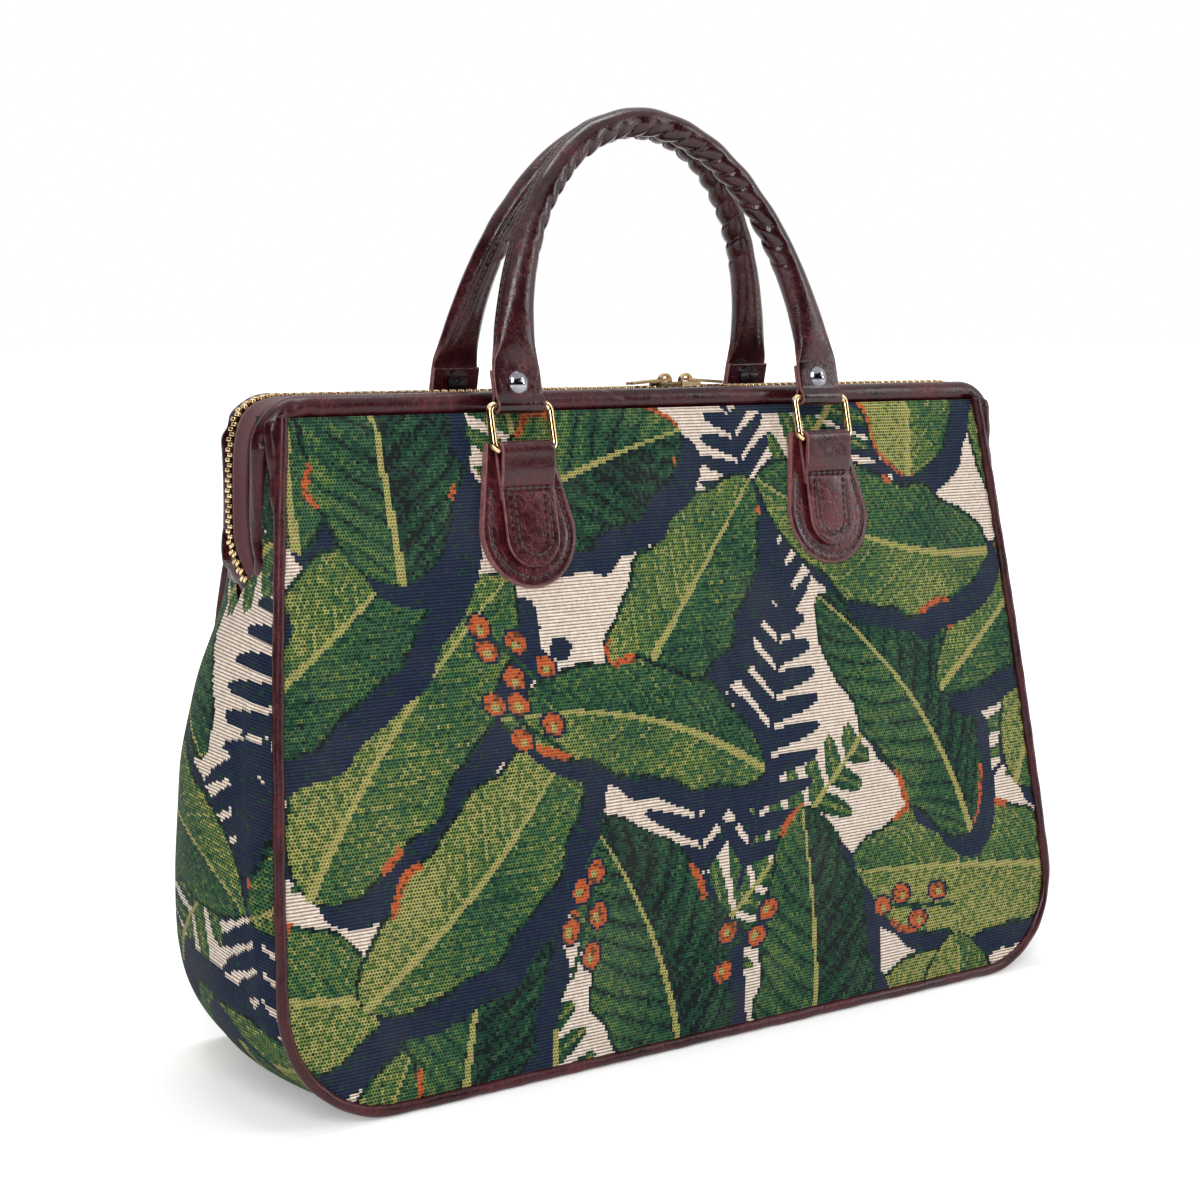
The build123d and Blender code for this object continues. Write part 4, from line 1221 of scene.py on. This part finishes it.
def makeHandle(face, name):
    look = handleShape
    path, sideCount, archCount = handleLine()
    number = len(path)
    across = np.zeros((number, 3))
    along = unit(np.gradient(path, axis=0))
    across[:, 0], across[:, 2] = along[:, 2], -along[:, 0]
    across[:sideCount] = (1, 0, 0)
    across[sideCount + archCount:] = (-1, 0, 0)
    run = runOf(path)
    rollStart = run[sideCount] - look["rollEarly"]
    rollEnd = run[sideCount + archCount - 1] + look["rollEarly"]
    share = ramp(run, rollStart, rollEnd - rollStart)
    near = np.minimum(share, 1 - share)
    sizes = [eased(np.interp(near, look[key + "At"], look[key]), 12) for key in ("wide", "deep", "power")]
    turn, section = superSection(look["sides"], *sizes)
    # gathers: puffs with one steep side, slanting across the inner half
    inner = np.clip(np.cos(turn) - look["innerFrom"], 0, 1)[None] / (1 - look["innerFrom"])
    span = 1 - 2 * look["gatherFrom"]
    phase = (share[:, None] - look["gatherFrom"]) / span * look["gathers"]
    phase = phase + look["gatherSlant"] * np.sin(turn)[None]
    phase = phase + look["gatherStray"] * waves(75 + face, 4, run[:, None], turn[None], reach=0.12)
    here = np.clip((near[:, None] - look["gatherFrom"] + 0.03) / 0.06, 0, 1)
    puff = np.sin(np.pi * (phase % 1) ** 0.7) ** 0.55
    dip = look["gatherDepth"] * (1 - puff) * inner ** 0.6 * here - 0.5 * puff * inner * here
    dip = dip + 0.22 * here * waves(71 + face, 6, run[:, None], 5 * turn[None], reach=0.35)
    # the raised seam with a groove beside it
    rolled = ramp(near[:, None], 0.02, 0.04)
    away = (turn[None] - look["seamTurn"][face] + np.pi) % (2 * np.pi) - np.pi
    dip = dip - rolled * look["seamRise"] * hump(away, 0, look["seamWide"])
    dip = dip + rolled * look["grooveDeep"] * hump(away, look["grooveAt"], look["grooveWide"])
    size = np.linalg.norm(section, axis=-1)
    section = section * (1 - dip / np.maximum(size, 1))[..., None]
    points, faces = swept(path, across, section)
    # leaned over to the middle about the ring's bar
    c, s = math.cos(math.radians(look["leanIn"])), math.sin(math.radians(look["leanIn"]))
    y, z = points[:, 1] - look["barY"], points[:, 2] - look["barZ"]
    points[:, 1], points[:, 2] = look["barY"] + c * y + s * z, look["barZ"] + c * z - s * y
    points = toFace(points, face)
    piece = makePiece(name + "RolledHandle", points, faces, leathers["handleLeather"],
                      name + "_handle_body", [name + "_handle"], flip=face < 0)
    flatStrap = np.clip(1 - near / 0.05, 0, 1)[:, None]
    edge = (np.abs(np.cos(turn))[None] > 0.93) * flatStrap
    markPoints(piece, "raw", edge.ravel() * 0.9)
    # sewing thread along the seam
    column = int(round((look["seamTurn"][face] + look["stitchTurn"]) / (2 * np.pi) * look["sides"]))
    rows = points.reshape(number, -1, 3)
    line, middle = rows[:, column], rows.mean(1)
    places = []
    for at in np.arange(rollStart + look["stitchFrom"], rollEnd - look["stitchFrom"], look["stitchStep"]):
        k = int(np.searchsorted(run, at))
        ahead = unit(line[k + 1] - line[k - 1])
        out = unit(line[k] - middle[k] - ahead * np.dot(line[k] - middle[k], ahead))
        places.append((line[k] + 0.1 * out, np.array([ahead, np.cross(out, ahead), out])))
    threads, threadFaces = repeated(*softBlock(look["stitch"], look["stitchBevel"]), places)
    makePiece(name + "HandleStitching", threads, threadFaces, cloths["sewingThread"],
              name + "_handle_body")


for face, name in faceNames.items():
    makeHandle(face, name)
print("handles rolled")

# hard pieces keep their solid shape and get their finishes; snaps, slider and pull also get softened edges
hardFinishes = dict(
    ring=(metals["goldRing"], 0.0), handle_core=(cloths["cordCore"], 0.0),
    snap_caps=(metals["snapSilver"], 0.25), snap_sockets=(metals["snapSilver"], 0.25),
    slider=(metals["zipGold"], 0.3), pull=(metals["zipGold"], 0.3),
)
for nodeName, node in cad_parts.items():
    for ending, (finish, bevel) in hardFinishes.items():
        if nodeName.endswith(ending):
            node.data.materials.clear()
            node.data.materials.append(finish)
            if bevel:
                soften = node.modifiers.new("soften", "BEVEL")
                soften.width, soften.segments, soften.limit_method = bevel * mm, 2, "ANGLE"
print("metal polished")

liningRoom = 2.0  # kept clear of the drawn-in cloth


def makeLining():
    # the solid's own lining, drawn in where the back stops short
    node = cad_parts["lining"]
    points = np.array([(node.matrix_world @ vert.co)[:] for vert in node.data.vertices]) / mm
    x, y, z = points.T
    share = np.clip(y / (bag["depth"] / 2 - math.tan(lean) * z), 0, 1)
    step = backStep(x, z / leanCos) + liningRoom * toLeft(x)
    points[:, 0] += step * share * (share + 1) / 2
    faces = [list(part.vertices) for part in node.data.polygons]
    makePiece("clothLining", points, faces, cloths["liningCloth"], "bag", ["lining"])


makeLining()
print("lining in")

# floor, light and camera
stageLook = dict(
    floorSize=30.0, floorColour=(236, 236, 236), floorRough=0.9, glow=0.30, farGlow=1.0, near=0.35, far=1.5,
    ambient=0.55, cardAway=2.8, cardFrom=112, cardTo=330, cardSteps=25, cardHeights=(0.15, 2.4),
    cardColour=(26, 24, 24),
)
white = (1, 1, 1, 1)


def seenRays(tree):
    # 1 for what the camera sees, straight, mirrored or through glass
    path = addNode(tree, "LightPath").outputs
    mirrored = calc(tree, "MAXIMUM", path["Is Glossy Ray"], path["Is Transmission Ray"])
    return calc(tree, "MAXIMUM", path["Is Camera Ray"], mirrored)


def stagePiece(name, points, faces, finishName, colour, rough):
    mesh = bpy.data.meshes.new(name)
    mesh.from_pydata(points, [], faces)
    piece = bpy.data.objects.new(name, mesh)
    scene.collection.objects.link(piece)
    finish, tree, skin = newFinish(finishName)
    plugAll(tree, skin, {"Base Color": tint(*colour), "Roughness": rough, "Specular IOR Level": 0.0})
    mesh.materials.append(finish)
    return piece, tree, skin


def makeStage():
    look = stageLook
    s = look["floorSize"]
    corners = [(-s, -s, 0), (s, -s, 0), (s, s, 0), (-s, s, 0)]
    floor, tree, skin = stagePiece("floor", corners, [(0, 1, 2, 3)], "paleFloor",
                                   look["floorColour"], look["floorRough"])
    # the floor pales to white with distance
    place = addNode(tree, "NewGeometry").outputs["Position"]
    away = addNode(tree, "VectorMath", {0: place}, operation="LENGTH").outputs["Value"]
    strength = spread(tree, away, look["glow"], look["farGlow"], look["near"], look["far"])
    glow = addNode(tree, "Emission", {"Color": white, "Strength": times(tree, seenRays(tree), strength)})
    both = addNode(tree, "AddShader", {0: skin.outputs[0], 1: glow.outputs[0]})
    tree.links.new(both.outputs[0], tree.nodes["Material Output"].inputs["Surface"])
    # a dark card behind the camera, seen only in the gloss of leather and metal
    turn = np.radians(np.linspace(look["cardFrom"], look["cardTo"], look["cardSteps"]))
    ring = np.stack([look["cardAway"] * np.cos(turn), look["cardAway"] * np.sin(turn)], -1)
    points = [(x, y, z) for z in look["cardHeights"] for x, y in ring]
    card = stagePiece("darkCard", points, gridFaces(2, look["cardSteps"], False).tolist(),
                      "cardCloth", look["cardColour"], 1.0)[0]
    card.visible_camera = card.visible_diffuse = card.visible_shadow = card.visible_transmission = False
    world = bpy.data.worlds.new("studio")
    scene.world = world
    world.use_nodes = True
    tree = world.node_tree
    strength = spread(tree, seenRays(tree), look["ambient"], 1.0)
    plugAll(tree, tree.nodes["Background"], {"Color": white, "Strength": strength})


lamps = [
    dict(name="keyLamp", place=(-1.2, -1.7, 1.5), aim=(0, 0, 0.2), size=(0.5, 1.3), power=30),
    dict(name="fillLamp", place=(1.7, -1.3, 1.0), aim=(0, 0, 0.2), size=(0.4, 1.4), power=14),
    dict(name="topLamp", place=(0.1, 0.3, 2.1), aim=(0, 0, 0.2), size=(1.5, 0.45), power=16),
]


def makeLamp(name, place, aim, size, power):
    data = bpy.data.lights.new(name, "AREA")
    data.shape = "RECTANGLE"
    data.size, data.size_y = size
    data.energy = power
    lamp = bpy.data.objects.new(name, data)
    scene.collection.objects.link(lamp)
    lamp.location = place
    lamp.rotation_euler = (Vector(aim) - Vector(place)).to_track_quat("-Z", "Y").to_euler()


makeStage()
for lamp in lamps:
    makeLamp(**lamp)

shot = dict(place=(-0.64495, -0.87389, 0.33861), look=(0.57766, 0.80687, -0.12360), lens=67.01)
camera = bpy.data.objects.new("camera", bpy.data.cameras.new("camera"))
scene.collection.objects.link(camera)
camera.location = shot["place"]
camera.rotation_euler = Vector(shot["look"]).to_track_quat("-Z", "Y").to_euler()
camera.data.lens = shot["lens"]
camera.data.sensor_width = 36.0
camera.data.clip_start = 0.01
scene.camera = camera
print("stage and camera set")
